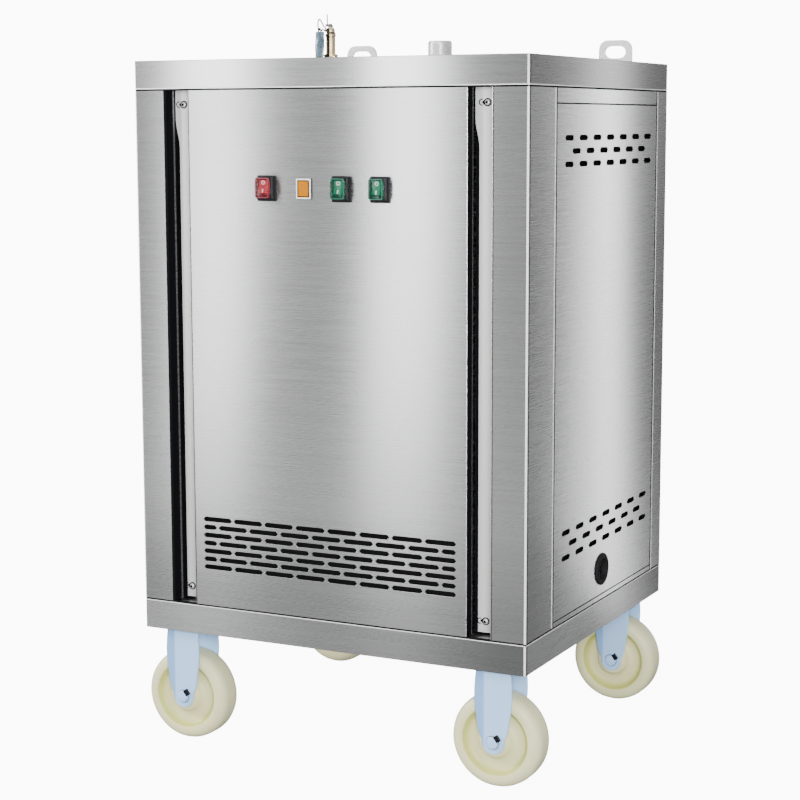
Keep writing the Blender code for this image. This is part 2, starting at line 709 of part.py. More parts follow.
# ---------------------------------------------------------------- inside the cabinet
def boiler_vessel():
    """Shell with dished ends, open at its neck, at its heater port and under its skirt."""
    mesh, make = part("boiler_vessel", STAINLESS, (BOILER.x, BOILER.y, DECK_Z))
    wall, r, low = 0.003, BOILER_R, SKIRT_H
    outside = [(0.0170, BOILER_H), (0.0170, BOILER_H - 0.020), (0.080, BOILER_H - 0.034),
               (0.116, BOILER_H - 0.052), (r, BOILER_H - 0.085), (r, 0.0)]
    under = [(r - wall, 0.0), (r - wall, low - 0.010), (0.095, low - 0.022), (0.0500, low - 0.026)]
    inside = [(0.0500, low - 0.022), (0.094, low - 0.018), (r - wall, low - 0.004),
              (r - wall, BOILER_H - 0.086), (0.114, BOILER_H - 0.055),
              (0.079, BOILER_H - 0.037), (0.0130, BOILER_H - 0.024), (0.0130, BOILER_H)]
    turned(mesh, outside + under + inside, 24, closed=True)
    vessel = make()

    def feed_port(cutter):
        turned(cutter, [(0.0085, r - 0.02), (0.0085, r + 0.02)], 12, "X", centre=(0, FEED_PORT_Z))

    cut(vessel, feed_port, "vessel")


def heater_bundle():
    """Flanged plug under the vessel, carrying two hairpin elements."""
    mesh, make = part("heater_bundle", STAINLESS, (BOILER.x, BOILER.y, DECK_Z + SKIRT_H))
    turned(mesh, [(0.0640, -0.0390), (0.0640, -0.0270), (0.0480, -0.0270), (0.0480, -0.0150)], 24)
    heater = make()

    def hairpins(tool):
        for y in (-0.020, 0.020):
            corners = [(-0.025, y, -0.020), (-0.025, y, 0.300), (0.025, y, 0.300),
                       (0.025, y, -0.020)]
            tube(tool, rounded_route(corners, 0.024), 0.0042, 6)

    join(heater, hairpins, "heater")


def water_tank():
    """Open-topped tank with a front spigot and two ears carrying the float's pin."""
    mesh, make = part("water_tank", TANK_PLASTIC, (TANK.x, TANK.y, DECK_Z))
    wall = 0.003
    half_x, half_y, height = TANK_SIZE
    sections = [(half_x, half_y, 0), (half_x, half_y, height),
                (half_x - wall, half_y - wall, height), (half_x - wall, half_y - wall, wall)]
    skin(mesh, [[(u, v, z) for u, v in rectangle(a, b)] for a, b, z in sections])
    tank = make()
    pivot = FLOAT_AT - Vector((TANK.x, TANK.y, DECK_Z))

    def bracket(tool):
        for side in (-1, 1):
            box(tool, (side * 0.0100 - 0.0015, pivot.y - 0.008, pivot.z - 0.008),
                (side * 0.0100 + 0.0015, half_y - wall / 2, pivot.z + 0.008))

    def pin(tool):
        turned(tool, [(0.0030, -0.0110), (0.0030, 0.0110)], 16, "X", centre=(pivot.y, pivot.z))

    def spigot(tool):
        turned(tool, [(0.0110, -half_y - 0.020), (0.0110, -half_y + wall / 2)], 12, "Y",
               centre=(SPIGOT_X, PUMP_Z))

    def spigot_bore(cutter):
        turned(cutter, [(0.0080, -half_y - 0.03), (0.0080, -half_y + 0.02)], 8, "Y",
               centre=(SPIGOT_X, PUMP_Z))

    join(tank, bracket, "tank_ears")
    join(tank, pin, "tank_pin")
    join(tank, spigot, "tank_spigot")
    cut(tank, spigot_bore, "tank_spigot")


def tank_float():
    """Eye, arm and ball; the arm hangs towards the tank's front."""
    mesh, make = part("tank_float", TANK_PLASTIC, FLOAT_AT)
    turned(mesh, [(0.0031, -0.0070), (0.0070, -0.0070), (0.0070, 0.0070), (0.0031, 0.0070)], 16,
           "X", closed=True)
    made = make()
    reach = Vector((0, -math.cos(FLOAT_ANGLE), math.sin(FLOAT_ANGLE)))

    def arm(tool):
        tube(tool, [reach * 0.0050, reach * 0.1450], 0.0025, 8)

    def ball(tool):
        bmesh.ops.create_uvsphere(tool, u_segments=12, v_segments=8, radius=0.032,
                                  matrix=Matrix.Translation(reach * 0.170))

    join(made, arm, "float_arm")
    join(made, ball, "float_ball")


def pump_body():
    """Motor barrel on a foot, fan end open, with the pump head and its inlet on the other end."""
    mesh, make = part("pump_body", CAST, (PUMP.x, PUMP.y, DECK_Z + PUMP_Z))
    half = PUMP_LEN / 2
    barrel = [(0.0400, half), (0.0400, -half), (0.0060, -half), (0.0060, -half + 0.012),
              (0.0360, -half + 0.012), (0.0360, half - 0.030), (0.0060, half - 0.030),
              (0.0060, half - 0.024), (0.0360, half - 0.024), (0.0360, half)]
    turned(mesh, barrel, 24, "X", closed=True)
    body = make()
    inlet_end = TANK.y - TANK_SIZE[1] - 0.020 - GAP - PUMP.y

    def head(tool):
        turned(tool, [(0.0450, -half - PUMP_HEAD), (0.0450, -half + 0.001)], 20, "X")

    def inlet(tool):
        turned(tool, [(0.0110, 0.030), (0.0110, inlet_end)], 12, "Y",
               centre=(-half - PUMP_HEAD / 2, 0))

    def inlet_bore(cutter):
        turned(cutter, [(0.0080, 0.020), (0.0080, inlet_end + 0.010)], 8, "Y",
               centre=(-half - PUMP_HEAD / 2, 0))

    def foot(tool):
        box(tool, (-0.045, -0.035, -PUMP_Z), (0.045, 0.035, -PUMP_Z + 0.006))

    def pedestal(tool):
        box(tool, (-0.035, -0.020, -PUMP_Z + 0.003), (0.035, 0.020, -0.0375))

    def air_holes(cutter):
        for k in range(4):
            turn = math.pi / 2 * k
            turned(cutter, [(0.0080, half - 0.034), (0.0080, half - 0.020)], 8, "X",
                   centre=(0.024 * math.cos(turn), 0.024 * math.sin(turn)))

    for word, piece in (("head", head), ("inlet", inlet), ("foot", foot), ("pedestal", pedestal)):
        join(body, piece, f"pump_{word}")
    cut(body, inlet_bore, "pump_inlet")
    cut(body, air_holes, "pump_air")


def pump_rotor():
    """Shaft with its rotor stack and the cooling fan, turning in the two bearings."""
    mesh, make = part("pump_rotor", SATIN, (PUMP.x, PUMP.y, DECK_Z + PUMP_Z))
    half = PUMP_LEN / 2
    turned(mesh, [(0.0059, -half + 0.002), (0.0059, -half + 0.014), (0.0250, -half + 0.016),
                  (0.0250, half - 0.034), (0.0059, half - 0.032), (0.0059, half - 0.022),
                  (0.0110, half - 0.020), (0.0110, half - 0.006)], 24, "X")
    rotor = make()
    for k in range(3):
        def blade(tool, turn=math.pi / 3 * k):
            box(tool, (half - 0.018, -0.033, -0.0012), (half - 0.008, 0.033, 0.0012))
            bmesh.ops.rotate(tool, verts=tool.verts, cent=(0, 0, 0),
                             matrix=Matrix.Rotation(turn, 3, "X"))

        join(rotor, blade, f"fan_blade_{k}")


def feed_pipe():
    """From the pump head up and across to the vessel's port."""
    bend_x = PUMP.x - PUMP_LEN / 2 - PUMP_HEAD - 0.045
    port_z = DECK_Z + FEED_PORT_Z
    corners = [(bend_x + 0.045 - GAP, PUMP.y, DECK_Z + PUMP_Z), (bend_x, PUMP.y, DECK_Z + PUMP_Z),
               (bend_x, PUMP.y, port_z), (bend_x, BOILER.y, port_z),
               (BOILER.x + BOILER_R - 0.006, BOILER.y, port_z)]
    mesh, make = part("pipe_feed", COPPER)
    tube(mesh, rounded_route(corners, 0.020, 3), 0.0060, 8, 0.0045)
    make()


def steam_pipe():
    """Header between the valve and the outlet, with the stem that rises from the vessel's neck."""
    header_z, ends_z = HEADER_Z - 0.018, HEADER_Z + 0.0135
    header = [(VALVE.x, VALVE.y, ends_z), (VALVE.x, VALVE.y, header_z),
              (OUTLET.x, OUTLET.y, header_z), (OUTLET.x, OUTLET.y, ends_z)]
    stem = [(BOILER.x, BOILER.y, DECK_Z + BOILER_H + GAP), (BOILER.x, BOILER.y, header_z),
            (BOILER.x, OUTLET.y, header_z)]
    header_bore = [(VALVE.x, VALVE.y, ends_z + 0.010), *header[1:3],
                   (OUTLET.x, OUTLET.y, ends_z + 0.010)]
    stem_bore = [(BOILER.x, BOILER.y, DECK_Z + BOILER_H - 0.010), *stem[1:]]
    bend, outer, bore = 0.014, 0.0080, 0.0060
    mesh, make = part("pipe_steam", COPPER)
    tube(mesh, rounded_route(header, bend, 3), outer, 8)
    steam = make()
    join(steam, lambda tool: tube(tool, rounded_route(stem, bend, 3), outer, 8), "steam_stem")
    for word, route in (("header", header_bore), ("stem", stem_bore)):
        def bore_tool(cutter, route=route):
            tube(cutter, rounded_route(route, bend, 3), bore, 8)

        cut(steam, bore_tool, f"{word}_bore")


def contactor_box():
    """Electrical enclosure on the left wall, its cable mouth open at the bottom."""
    half_x, half_y, height, wall = 0.040, 0.070, 0.220, 0.0015
    mesh, make = part("contactor_box", ENAMEL, (-SIDE + SHEET + GAP + half_x, -0.110, 0.620))
    sections = [(half_x, half_y, height), (half_x, half_y, 0), (0.030, 0.020, 0),
                (0.030, 0.020, wall), (half_x - wall, half_y - wall, wall),
                (half_x - wall, half_y - wall, height - wall)]
    skin(mesh, [[(u, v, z) for u, v in rectangle(a, b, 0.003)] for a, b, z in sections])
    make()


def model():
    base_tray()
    top_cover()
    for word, side in (("right", 1), ("left", -1)):
        front_post(f"post_front_{word}", side)
        rear_post(f"post_rear_{word}", side)
        side_panel(f"side_panel_{word}", side, side > 0)
        lug(f"lug_{word}", side * LUG_X)
    front_panel()
    rear_panel()
    rails()
    channel_strips()
    strip_screws()
    switches()
    indicator()
    castors()
    steam_outlet()
    relief_valve()
    valve_tag()
    cable_bush()
    boiler_vessel()
    heater_bundle()
    water_tank()
    tank_float()
    pump_body()
    pump_rotor()
    feed_pipe()
    steam_pipe()
    contactor_box()


model()
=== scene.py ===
"""Looks for the steam cleaner: materials, rounded and detailed pieces, light and camera."""

import json
import math

import bmesh
import bpy
from mathutils import Matrix, Vector


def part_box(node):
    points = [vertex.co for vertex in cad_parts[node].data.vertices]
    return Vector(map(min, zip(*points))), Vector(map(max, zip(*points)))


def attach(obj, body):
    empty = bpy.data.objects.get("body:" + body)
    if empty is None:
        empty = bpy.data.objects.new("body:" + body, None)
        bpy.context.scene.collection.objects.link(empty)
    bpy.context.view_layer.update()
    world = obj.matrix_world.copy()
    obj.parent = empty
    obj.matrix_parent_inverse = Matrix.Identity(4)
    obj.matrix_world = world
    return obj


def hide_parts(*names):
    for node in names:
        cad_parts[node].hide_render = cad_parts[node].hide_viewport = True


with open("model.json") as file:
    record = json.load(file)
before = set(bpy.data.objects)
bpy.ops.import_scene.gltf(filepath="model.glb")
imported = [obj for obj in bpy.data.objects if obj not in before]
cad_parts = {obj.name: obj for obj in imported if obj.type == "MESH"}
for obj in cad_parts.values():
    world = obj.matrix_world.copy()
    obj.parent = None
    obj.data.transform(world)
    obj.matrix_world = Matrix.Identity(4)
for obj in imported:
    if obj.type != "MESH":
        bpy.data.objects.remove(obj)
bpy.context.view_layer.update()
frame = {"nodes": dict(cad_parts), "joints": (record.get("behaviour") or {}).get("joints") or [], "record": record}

CABINET = "cabinet"
NODES = frame["nodes"]
JOINTS = {joint["name"]: joint for joint in frame["joints"]}
MM = 0.001

# ---------------------------------------------------------------- places taken from the frame
PANEL_LOW, PANEL_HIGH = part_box("front_panel")
TRAY_LOW, TRAY_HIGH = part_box("base_tray")
COVER_LOW, COVER_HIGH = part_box("top_cover")
FRONT = TRAY_LOW.y
SIDE = TRAY_HIGH.x
BASE_Z = TRAY_LOW.z
TOP_Z = COVER_HIGH.z


def middle(node):
    low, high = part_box(node)
    return (low + high) / 2


# ---------------------------------------------------------------- materials
class Look:
    """A material whose node tree is built with short calls."""

    def __init__(self, name, colour, metallic=0.0, roughness=0.5, **more):
        self.material = bpy.data.materials.new(name)
        self.material.use_nodes = True
        self.tree = self.material.node_tree
        self.shader = self.tree.nodes["Principled BSDF"]
        self.set("Base Color", (*colour, 1.0))
        self.set("Metallic", metallic)
        self.set("Roughness", roughness)
        for socket, value in more.items():
            self.set(socket.replace("_", " "), value)
        self.colour = colour

    def set(self, socket, value):
        """Sets a socket of the shader to a number, or links another node's output to it."""
        if isinstance(value, bpy.types.NodeSocket):
            self.tree.links.new(value, self.shader.inputs[socket])
        else:
            self.shader.inputs[socket].default_value = value

    def node(self, kind, inputs=None, **settings):
        made = self.tree.nodes.new(kind)
        for key, value in settings.items():
            setattr(made, key, value)
        for key, value in (inputs or {}).items():
            if isinstance(value, bpy.types.NodeSocket):
                self.tree.links.new(value, made.inputs[key])
            else:
                made.inputs[key].default_value = value
        return made

    def place(self, scale=(1, 1, 1), vector=None):
        """Object coordinates, in metres, times a scale."""
        if vector is None:
            vector = self.node("ShaderNodeTexCoord").outputs["Object"]
        return self.node("ShaderNodeMapping", {"Vector": vector, "Scale": scale}).outputs[0]

    def noise(self, vector, scale, detail=3.0, rough=0.55, distort=0.0):
        return self.node("ShaderNodeTexNoise", {
            "Vector": vector, "Scale": scale, "Detail": detail, "Roughness": rough,
            "Distortion": distort}).outputs["Fac"]

    def maths(self, operation, a, b=0.0, c=0.0):
        return self.node("ShaderNodeMath", {0: a, 1: b, 2: c}, operation=operation).outputs[0]

    def between(self, value, low, high, to_low, to_high):
        """Maps a range of a value to another, clamped."""
        return self.node("ShaderNodeMapRange", {
            "Value": value, "From Min": low, "From Max": high, "To Min": to_low,
            "To Max": to_high}).outputs[0]

    def blend(self, factor, a, b):
        made = self.node("ShaderNodeMix", data_type="RGBA")
        for index, value in ((0, factor), (6, a), (7, b)):
            if isinstance(value, bpy.types.NodeSocket):
                self.tree.links.new(value, made.inputs[index])
            else:
                made.inputs[index].default_value = value if index == 0 else (*value, 1.0)
        return made.outputs[2]

    def shade(self, factor, dark=0.9, light=1.06):
        """Base colour that varies from dark to light times the look's own colour."""
        self.set("Base Color", self.blend(factor, [c * dark for c in self.colour],
                                          [min(1.0, c * light) for c in self.colour]))

    def bump(self, height, distance, strength=1.0):
        self.set("Normal", self.node("ShaderNodeBump", {
            "Height": height, "Distance": distance, "Strength": strength}).outputs[0])


def brushed_places(look, along, across):
    """Coordinates stretched along the brushing: level on upright sheets, along X on level ones."""
    normal = look.node("ShaderNodeNewGeometry").outputs["Normal"]
    parts = look.node("ShaderNodeSeparateXYZ", {0: normal})
    level = look.maths("GREATER_THAN", look.maths("ABSOLUTE", parts.outputs["Z"]), 0.7)
    upright = look.place((along, along, across))
    flat = look.place((along, across, along))
    mix = look.node("ShaderNodeMix", {0: level, 4: upright, 5: flat}, data_type="VECTOR")
    return mix.outputs[1]


CHANNEL_INNER, CHANNEL_OUTER = 0.2408, 0.2842     # the channels' sides, as distances from x = 0
# the lip is painted black too, as painted shade beside the left channel
LIP_INNER, LIP_OUTER = 0.2800, 0.2870             # strip of the left post shown as black


def channel_light(look):
    """0 inside the two finger channels and on a narrow lip of the left post, 1 elsewhere.

    The walls there are the same steel as the rest. They are painted black, as painted shade, with a thin lighter
    line at their rear as painted light."""
    split = look.node("ShaderNodeSeparateXYZ", {0: look.place()})
    across = look.maths("ABSOLUTE", split.outputs["X"])
    depth = look.maths("SUBTRACT", split.outputs["Y"], FRONT)
    inside = look.maths("MULTIPLY", look.maths("GREATER_THAN", across, CHANNEL_INNER),
                        look.maths("LESS_THAN", across, CHANNEL_OUTER))
    deep = look.maths("GREATER_THAN", depth, 0.0013)
    lip = look.maths("MULTIPLY", look.maths("GREATER_THAN", split.outputs["X"], -LIP_OUTER),
                     look.maths("LESS_THAN", split.outputs["X"], -LIP_INNER))
    channel_shade = look.maths("MAXIMUM", look.maths("MULTIPLY", inside, deep), lip)
    line = look.maths("MULTIPLY", look.maths("GREATER_THAN", depth, 0.0190),
                      look.maths("LESS_THAN", depth, 0.0238))
    lifted = look.maths("MULTIPLY", line, 0.45)
    return look.maths("ADD", look.maths("SUBTRACT", 1.0, channel_shade),
                      look.maths("MULTIPLY", channel_shade, lifted))


def times(look, *factors):
    """Multiplies the look's base colour by grey factors."""
    for factor in factors:
        made = look.node("ShaderNodeMix", {0: 1.0, 7: look.node(
            "ShaderNodeCombineColor", {0: factor, 1: factor, 2: factor}).outputs[0]},
            data_type="RGBA", blend_type="MULTIPLY")
        look.tree.links.new(look.shader.inputs["Base Color"].links[0].from_socket,
                            made.inputs[6])
        look.set("Base Color", made.outputs[2])


def facing(look, letter, low=0.6, high=0.8):
    """1 where the surface looks along an axis, 0 elsewhere."""
    normal = look.node("ShaderNodeNewGeometry").outputs["Normal"]
    part = look.node("ShaderNodeSeparateXYZ", {0: normal}).outputs[letter]
    return look.between(part, low, high, 0.0, 1.0)


def shade_by_place(look, sheet):
    """Darkens or lightens the sheet by place, to copy the tones of one known lighting.

    This is not a finish of the real sheet, and it stays on the object in any light."""
    split = look.node("ShaderNodeSeparateXYZ", {0: look.place()})
    side = facing(look, "X")
    front = facing(look, "Y", -0.6, -0.8)
    if sheet == "cap":
        right = look.between(split.outputs["X"], 0.10, 0.24, 1.30, 0.85)
        plain = look.between(side, 0.0, 1.0, 1.0, 0.34)
        top = look.between(facing(look, "Z", 0.15, 0.5), 0.0, 1.0, 1.0, 0.30)
        times(look, plain, look.between(front, 0.0, 1.0, 1.0, right), top)
    elif sheet == "plinth":
        right = look.between(split.outputs["X"], -0.34, 0.30, 1.0, 0.42)
        rear = look.between(split.outputs["Y"], -0.15, 0.15, 0.95, 0.34)
        times(look, look.between(front, 0.0, 1.0, 1.0, right),
              look.between(side, 0.0, 1.0, 1.0, rear))
    else:
        away = look.maths("DIVIDE", look.maths("ADD", split.outputs["Y"], 0.045), 0.16)
        bell = look.maths("DIVIDE", 0.46, look.maths(
            "ADD", 1.0, look.maths("POWER", look.maths("ABSOLUTE", away), 4.0)))
        low = look.between(split.outputs["Z"], 0.27, 0.42, 0.66, 1.0)
        times(look, look.between(side, 0.0, 1.0, 1.0, look.maths("ADD", bell, 0.58)),
              look.between(front, 0.0, 1.0, 1.0, low))


def stainless(name, colour, roughness, streak=1.0, channel_shade=False, sheet="panel"):
    """Sheet brushed level: long fine streaks in tone, roughness and height, with painted shade and painted
    highlights by place, and on request the channels painted black as painted shade.
    """
    look = Look(name, colour, 1.0, roughness, Anisotropic=0.95)
    look.set("Tangent", look.node("ShaderNodeCombineXYZ", {0: 0.0, 1: 0.02, 2: 1.0}).outputs[0])
    fine = look.noise(brushed_places(look, 9.0, 620.0), 1.0, 1.5)
    broad = look.noise(brushed_places(look, 4.0, 230.0), 1.0, 2.0)
    cloud = look.noise(look.place((1, 1, 0.6)), 3.0, 2.0)
    grain = look.maths("ADD", look.maths("MULTIPLY", fine, 0.7),
                       look.maths("MULTIPLY", broad, 0.3))
    tone = look.between(grain, 0.30, 0.70, 0.0, 1.0)
    look.shade(tone, 1 - 0.09 * streak, 1 + 0.06 * streak)
    shade_by_place(look, sheet)
    # painted shade: the channels' walls and the lip turn black and lose their shine
    if channel_shade:
        light = channel_light(look)
        plain = look.shader.inputs["Base Color"].links[0].from_socket
        look.set("Base Color", look.blend(light, (0.006, 0.006, 0.007), plain))
        look.set("Metallic", light)
        look.set("Specular IOR Level", look.maths("MULTIPLY", light, 0.5))
    rough = look.between(look.maths("ADD", grain, look.maths("MULTIPLY", cloud, 0.5)),
                         0.45, 1.05, roughness - 0.02, roughness + 0.03)
    look.set("Roughness", rough)
    look.bump(fine, 0.00002 * streak, 0.18)
    return look.material


def strip_steel():
    """Satin strip in a finger channel, with painted shade that darkens it towards its right-hand fold."""
    look = Look("satin_strip_look", (0.90, 0.90, 0.89), 0.55, 0.42)
    across = look.node("ShaderNodeSeparateXYZ", {0: look.place()}).outputs["X"]
    start = look.maths("MULTIPLY_ADD", look.maths("GREATER_THAN", across, 0.0), 0.524, -0.282)
    share = look.maths("DIVIDE", look.maths("SUBTRACT", across, start), 0.040)
    # painted shade: the strip darkens towards its right-hand edge
    right_shade = look.maths("POWER", look.maths("MAXIMUM", share, 0.0), 3.4)
    look.shade(look.maths("SUBTRACT", 1.0, right_shade), 0.22, 1.05)
    look.bump(look.noise(look.place(), 900.0, 2.0), 0.00002, 0.25)
    return look.material


def satin(name, colour, roughness):
    look = Look(name, colour, 1.0, roughness)
    cloud = look.noise(look.place(), 60.0, 4.0)
    look.set("Roughness", look.between(cloud, 0.3, 0.7, roughness - 0.05, roughness + 0.07))
    look.shade(look.noise(look.place((1, 1, 0.15)), 220.0, 3.0), 0.93, 1.05)
    look.bump(look.noise(look.place(), 900.0, 2.0), 0.00003, 0.3)
    return look.material


def zinc(name, left_shade=False):
    """Bright bluish zinc plating with a faint spangle; a leg can get painted shade on its left part, as if shaded
    by its fold.
    """
    look = Look(name, (0.42, 0.65, 1.0), 0.0, 0.36, Coat_Weight=0.1)
    spangle = look.node("ShaderNodeTexVoronoi", {"Vector": look.place(), "Scale": 240.0})
    cloud = look.noise(look.place(), 34.0, 4.0)
    both = look.maths("ADD", look.maths("MULTIPLY", spangle.outputs["Color"], 0.25),
                      look.maths("MULTIPLY", cloud, 0.75))
    look.shade(both, 0.94, 1.04)
    if left_shade:
        # painted shade on the leg's left part
        across = look.node("ShaderNodeSeparateXYZ", {0: look.place()}).outputs["X"]
        plain = look.shader.inputs["Base Color"].links[0].from_socket
        left = look.between(across, -0.017, -0.013, 1.0, 0.0)
        left_shade_mix = look.node("ShaderNodeMix", {0: left, 7: (0.55, 0.66, 0.76, 1.0)},
                         data_type="RGBA", blend_type="MULTIPLY")
        look.tree.links.new(plain, left_shade_mix.inputs[6])
        look.set("Base Color", left_shade_mix.outputs[2])
    look.set("Roughness", look.between(cloud, 0.3, 0.7, 0.30, 0.42))
    look.bump(cloud, 0.0001, 0.2)
    return look.material


def nylon():
    """Cast nylon with painted shade in the recess, darker and greener towards its wall, and with faint mottling
    and floor scuffs.
    """
    look = Look("cream_nylon_look", (0.80, 0.77, 0.53), 0.0, 0.42, Subsurface_Weight=0.15,
                Subsurface_Scale=0.01, Specular_IOR_Level=0.4)
    split = look.node("ShaderNodeSeparateXYZ", {0: look.place()})
    square = [look.maths("MULTIPLY", split.outputs[k], split.outputs[k]) for k in ("X", "Z")]
    radius = look.maths("SQRT", look.maths("ADD", *square))
    ring = look.node("ShaderNodeValToRGB", {0: look.maths("MULTIPLY", radius, 12.5)})
    # the darker, greener stops near the recess wall are painted shade in the recess
    stops = ((0.0, (0.78, 0.75, 0.46)), (0.38, (0.77, 0.74, 0.42)), (0.54, (0.74, 0.715, 0.38)),
             (0.62, (0.60, 0.61, 0.20)), (0.672, (0.55, 0.57, 0.15)), (0.70, (0.78, 0.76, 0.42)),
             (1.0, (0.81, 0.79, 0.50)))
    ramp = ring.color_ramp
    for place, colour in stops:
        if place in (0.0, 1.0):
            element = ramp.elements[0 if place == 0.0 else -1]
        else:
            element = ramp.elements.new(place)
        element.color = (*colour, 1.0)
    mottle = look.noise(look.place(), 55.0, 4.0)
    worn = look.node("ShaderNodeMix", {0: 0.10, 6: ring.outputs[0]}, data_type="RGBA",
                     blend_type="MULTIPLY")
    look.tree.links.new(look.blend(mottle, (0.55, 0.52, 0.42), (1.0, 1.0, 1.0)), worn.inputs[7])
    look.set("Base Color", worn.outputs[2])
    look.set("Roughness", look.between(mottle, 0.3, 0.7, 0.36, 0.5))
    look.bump(look.noise(look.place(), 420.0, 3.0), 0.00012, 0.3)
    return look.material


def plastic(name, colour, roughness, grain=700.0, depth=0.00006, **more):
    """Moulded plastic with fine spark-eroded grain."""
    look = Look(name, colour, 0.0, roughness, **more)
    cloud = look.noise(look.place(), 90.0, 3.0)
    look.shade(cloud, 0.90, 1.08)
    look.set("Roughness", look.between(cloud, 0.3, 0.7, roughness - 0.06, roughness + 0.06))
    look.bump(look.noise(look.place(), grain, 2.0), depth, 0.4)
    return look.material


FLANK_AXIS = (0.894, 0.447)  # level direction from a flank's dark side to its bright one


def metal(name, colour, roughness, scale=120.0, flank=False, **more):
    """Mottled metal. With flank, one side is darkened by place, to look like a shaded side."""
    look = Look(name, colour, more.pop("metallic", 1.0), roughness, **more)
    cloud = look.noise(look.place(), scale, 4.0)
    look.shade(cloud, 0.88, 1.06)
    if flank:
        split = look.node("ShaderNodeSeparateXYZ", {0: look.place()})
        across = look.maths("ADD", look.maths("MULTIPLY", split.outputs["X"], FLANK_AXIS[0]),
                            look.maths("MULTIPLY", split.outputs["Y"], FLANK_AXIS[1]))
        times(look, look.between(across, -0.0026, -0.0014, 0.02, 1.0))
    look.set("Roughness", look.between(cloud, 0.3, 0.7, roughness - 0.06, roughness + 0.08))
    look.bump(look.noise(look.place((1, 1, 8)), 260.0, 2.0), 0.00003, 0.3)
    return look.material


def lens():
    """Amber pilot lens with a fine prism pattern behind its face."""
    look = Look("amber_lens_look", (0.46, 0.16, 0.0), 0.0, 0.5, Specular_IOR_Level=0.1,
                Emission_Strength=0.02)
    look.set("Emission Color", (1.0, 0.30, 0.0, 1.0))
    cells = look.node("ShaderNodeTexVoronoi", {"Vector": look.place(), "Scale": 520.0})
    look.shade(cells.outputs["Distance"], 0.80, 1.12)
    look.bump(cells.outputs["Distance"], 0.0002, 0.4)
    return look.material


def tag_film():
    """Mottled blue and white plastic film, blank."""
    look = Look("tag_plastic_look", (0.35, 0.47, 0.58), 0.0, 0.35, Coat_Weight=0.3)
    patches = look.noise(look.place((1, 1, 0.7)), 400.0, 5.0, 0.7, 1.2)
    colour = look.blend(look.between(patches, 0.42, 0.54, 0.0, 1.0), (0.003, 0.014, 0.028),
                        (0.10, 0.19, 0.26))
    look.set("Base Color", colour)
    look.bump(patches, 0.0006, 0.6)
    return look.material


# all four stainless looks carry painted shade and painted highlights by place; the cap's lighter colour is painted
# light too, and the channel look paints the channels black
STEEL = stainless("brushed_stainless_look", (0.66, 0.665, 0.67), 0.27, 0.7)
STEEL_CHANNEL = stainless("channel_stainless_look", (0.66, 0.665, 0.67), 0.27, 0.7, channel_shade=True)
STEEL_CAP = stainless("cap_stainless_look", (0.70, 0.705, 0.71), 0.27, 0.7, sheet="cap")
STEEL_PLINTH = stainless("plinth_stainless_look", (0.66, 0.665, 0.67), 0.27, 0.7, sheet="plinth")
STEEL_PLAIN = metal("stainless_fitting_look", (0.92, 0.92, 0.92), 0.38, metallic=0.7)
SATIN = satin("satin_steel_look", (0.82, 0.82, 0.81), 0.26)
STRIP = strip_steel()
ZINC = zinc("zinc_plate_look")
ZINC_LEG = zinc("zinc_leg_look", left_shade=True)
NYLON = nylon()
BRASS = metal("brass_look", (0.80, 0.60, 0.29), 0.24)
BRASS_VALVE = metal("valve_brass_look", (0.86, 0.68, 0.40), 0.42, flank=True)
COPPER = metal("copper_look", (0.80, 0.45, 0.30), 0.30)
DARK_STEEL = metal("dark_steel_look", (0.035, 0.032, 0.028), 0.5, metallic=0.3)
PIN = metal("pin_look", (0.13, 0.125, 0.11), 0.5, metallic=0.3)
STUB = metal("stub_look", (0.94, 0.94, 0.94), 0.34, metallic=0.75)
FOLD_HIGHLIGHT = metal("painted_fold_highlight_look", (0.96, 0.97, 0.97), 0.4, metallic=0.25)
DULL_BLACK = Look("dull_black_look", (0.004, 0.004, 0.004), 0.0, 0.9,
                  Specular_IOR_Level=0.1).material
BLACK = plastic("black_plastic_look", (0.006, 0.006, 0.008), 0.5, Specular_IOR_Level=0.15)
RUBBER = plastic("black_rubber_look", (0.008, 0.008, 0.009), 0.75, 420.0, 0.0001,
                 Specular_IOR_Level=0.2)
# the rockers and their white marks get emission: a painted glow, not a lamp
RED = plastic("red_rocker_look", (0.86, 0.03, 0.045), 0.25, Coat_Weight=0.3,
              Emission_Color=(1.0, 0.03, 0.05, 1.0), Emission_Strength=0.30)
GREEN = plastic("green_rocker_look", (0.0, 0.40, 0.17), 0.25, Coat_Weight=0.3,
                Emission_Color=(0.0, 0.50, 0.24, 1.0), Emission_Strength=0.16)
SEAL_RED = plastic("red_seal_look", (0.14, 0.004, 0.010), 0.16, 300.0, 0.00004, Coat_Weight=0.5,
                   Alpha=0.36)
SEAL_GREEN = plastic("green_seal_look", (0.0, 0.055, 0.030), 0.16, 300.0, 0.00004,
                     Coat_Weight=0.5, Alpha=0.36)
# lighter bead colours: painted highlight along the caps' outlines
RIM_RED = plastic("red_rim_look", (0.42, 0.06, 0.10), 0.3, 300.0, 0.00004)
RIM_GREEN = plastic("green_rim_look", (0.04, 0.26, 0.17), 0.3, 300.0, 0.00004)
MARK = plastic("white_mark_look", (0.95, 0.95, 0.94), 0.4, Emission_Color=(1.0, 1.0, 1.0, 1.0),
               Emission_Strength=1.6)
WHITE = plastic("white_bezel_look", (0.90, 0.90, 0.88), 0.35)
AMBER = lens()
TAG = tag_film()
TANK = plastic("tank_plastic_look", (0.78, 0.80, 0.78), 0.5, 260.0)
CAST = plastic("pump_casting_look", (0.10, 0.14, 0.20), 0.5, 240.0, 0.0003)
ENAMEL = plastic("box_enamel_look", (0.62, 0.63, 0.62), 0.45, 320.0, 0.0001)

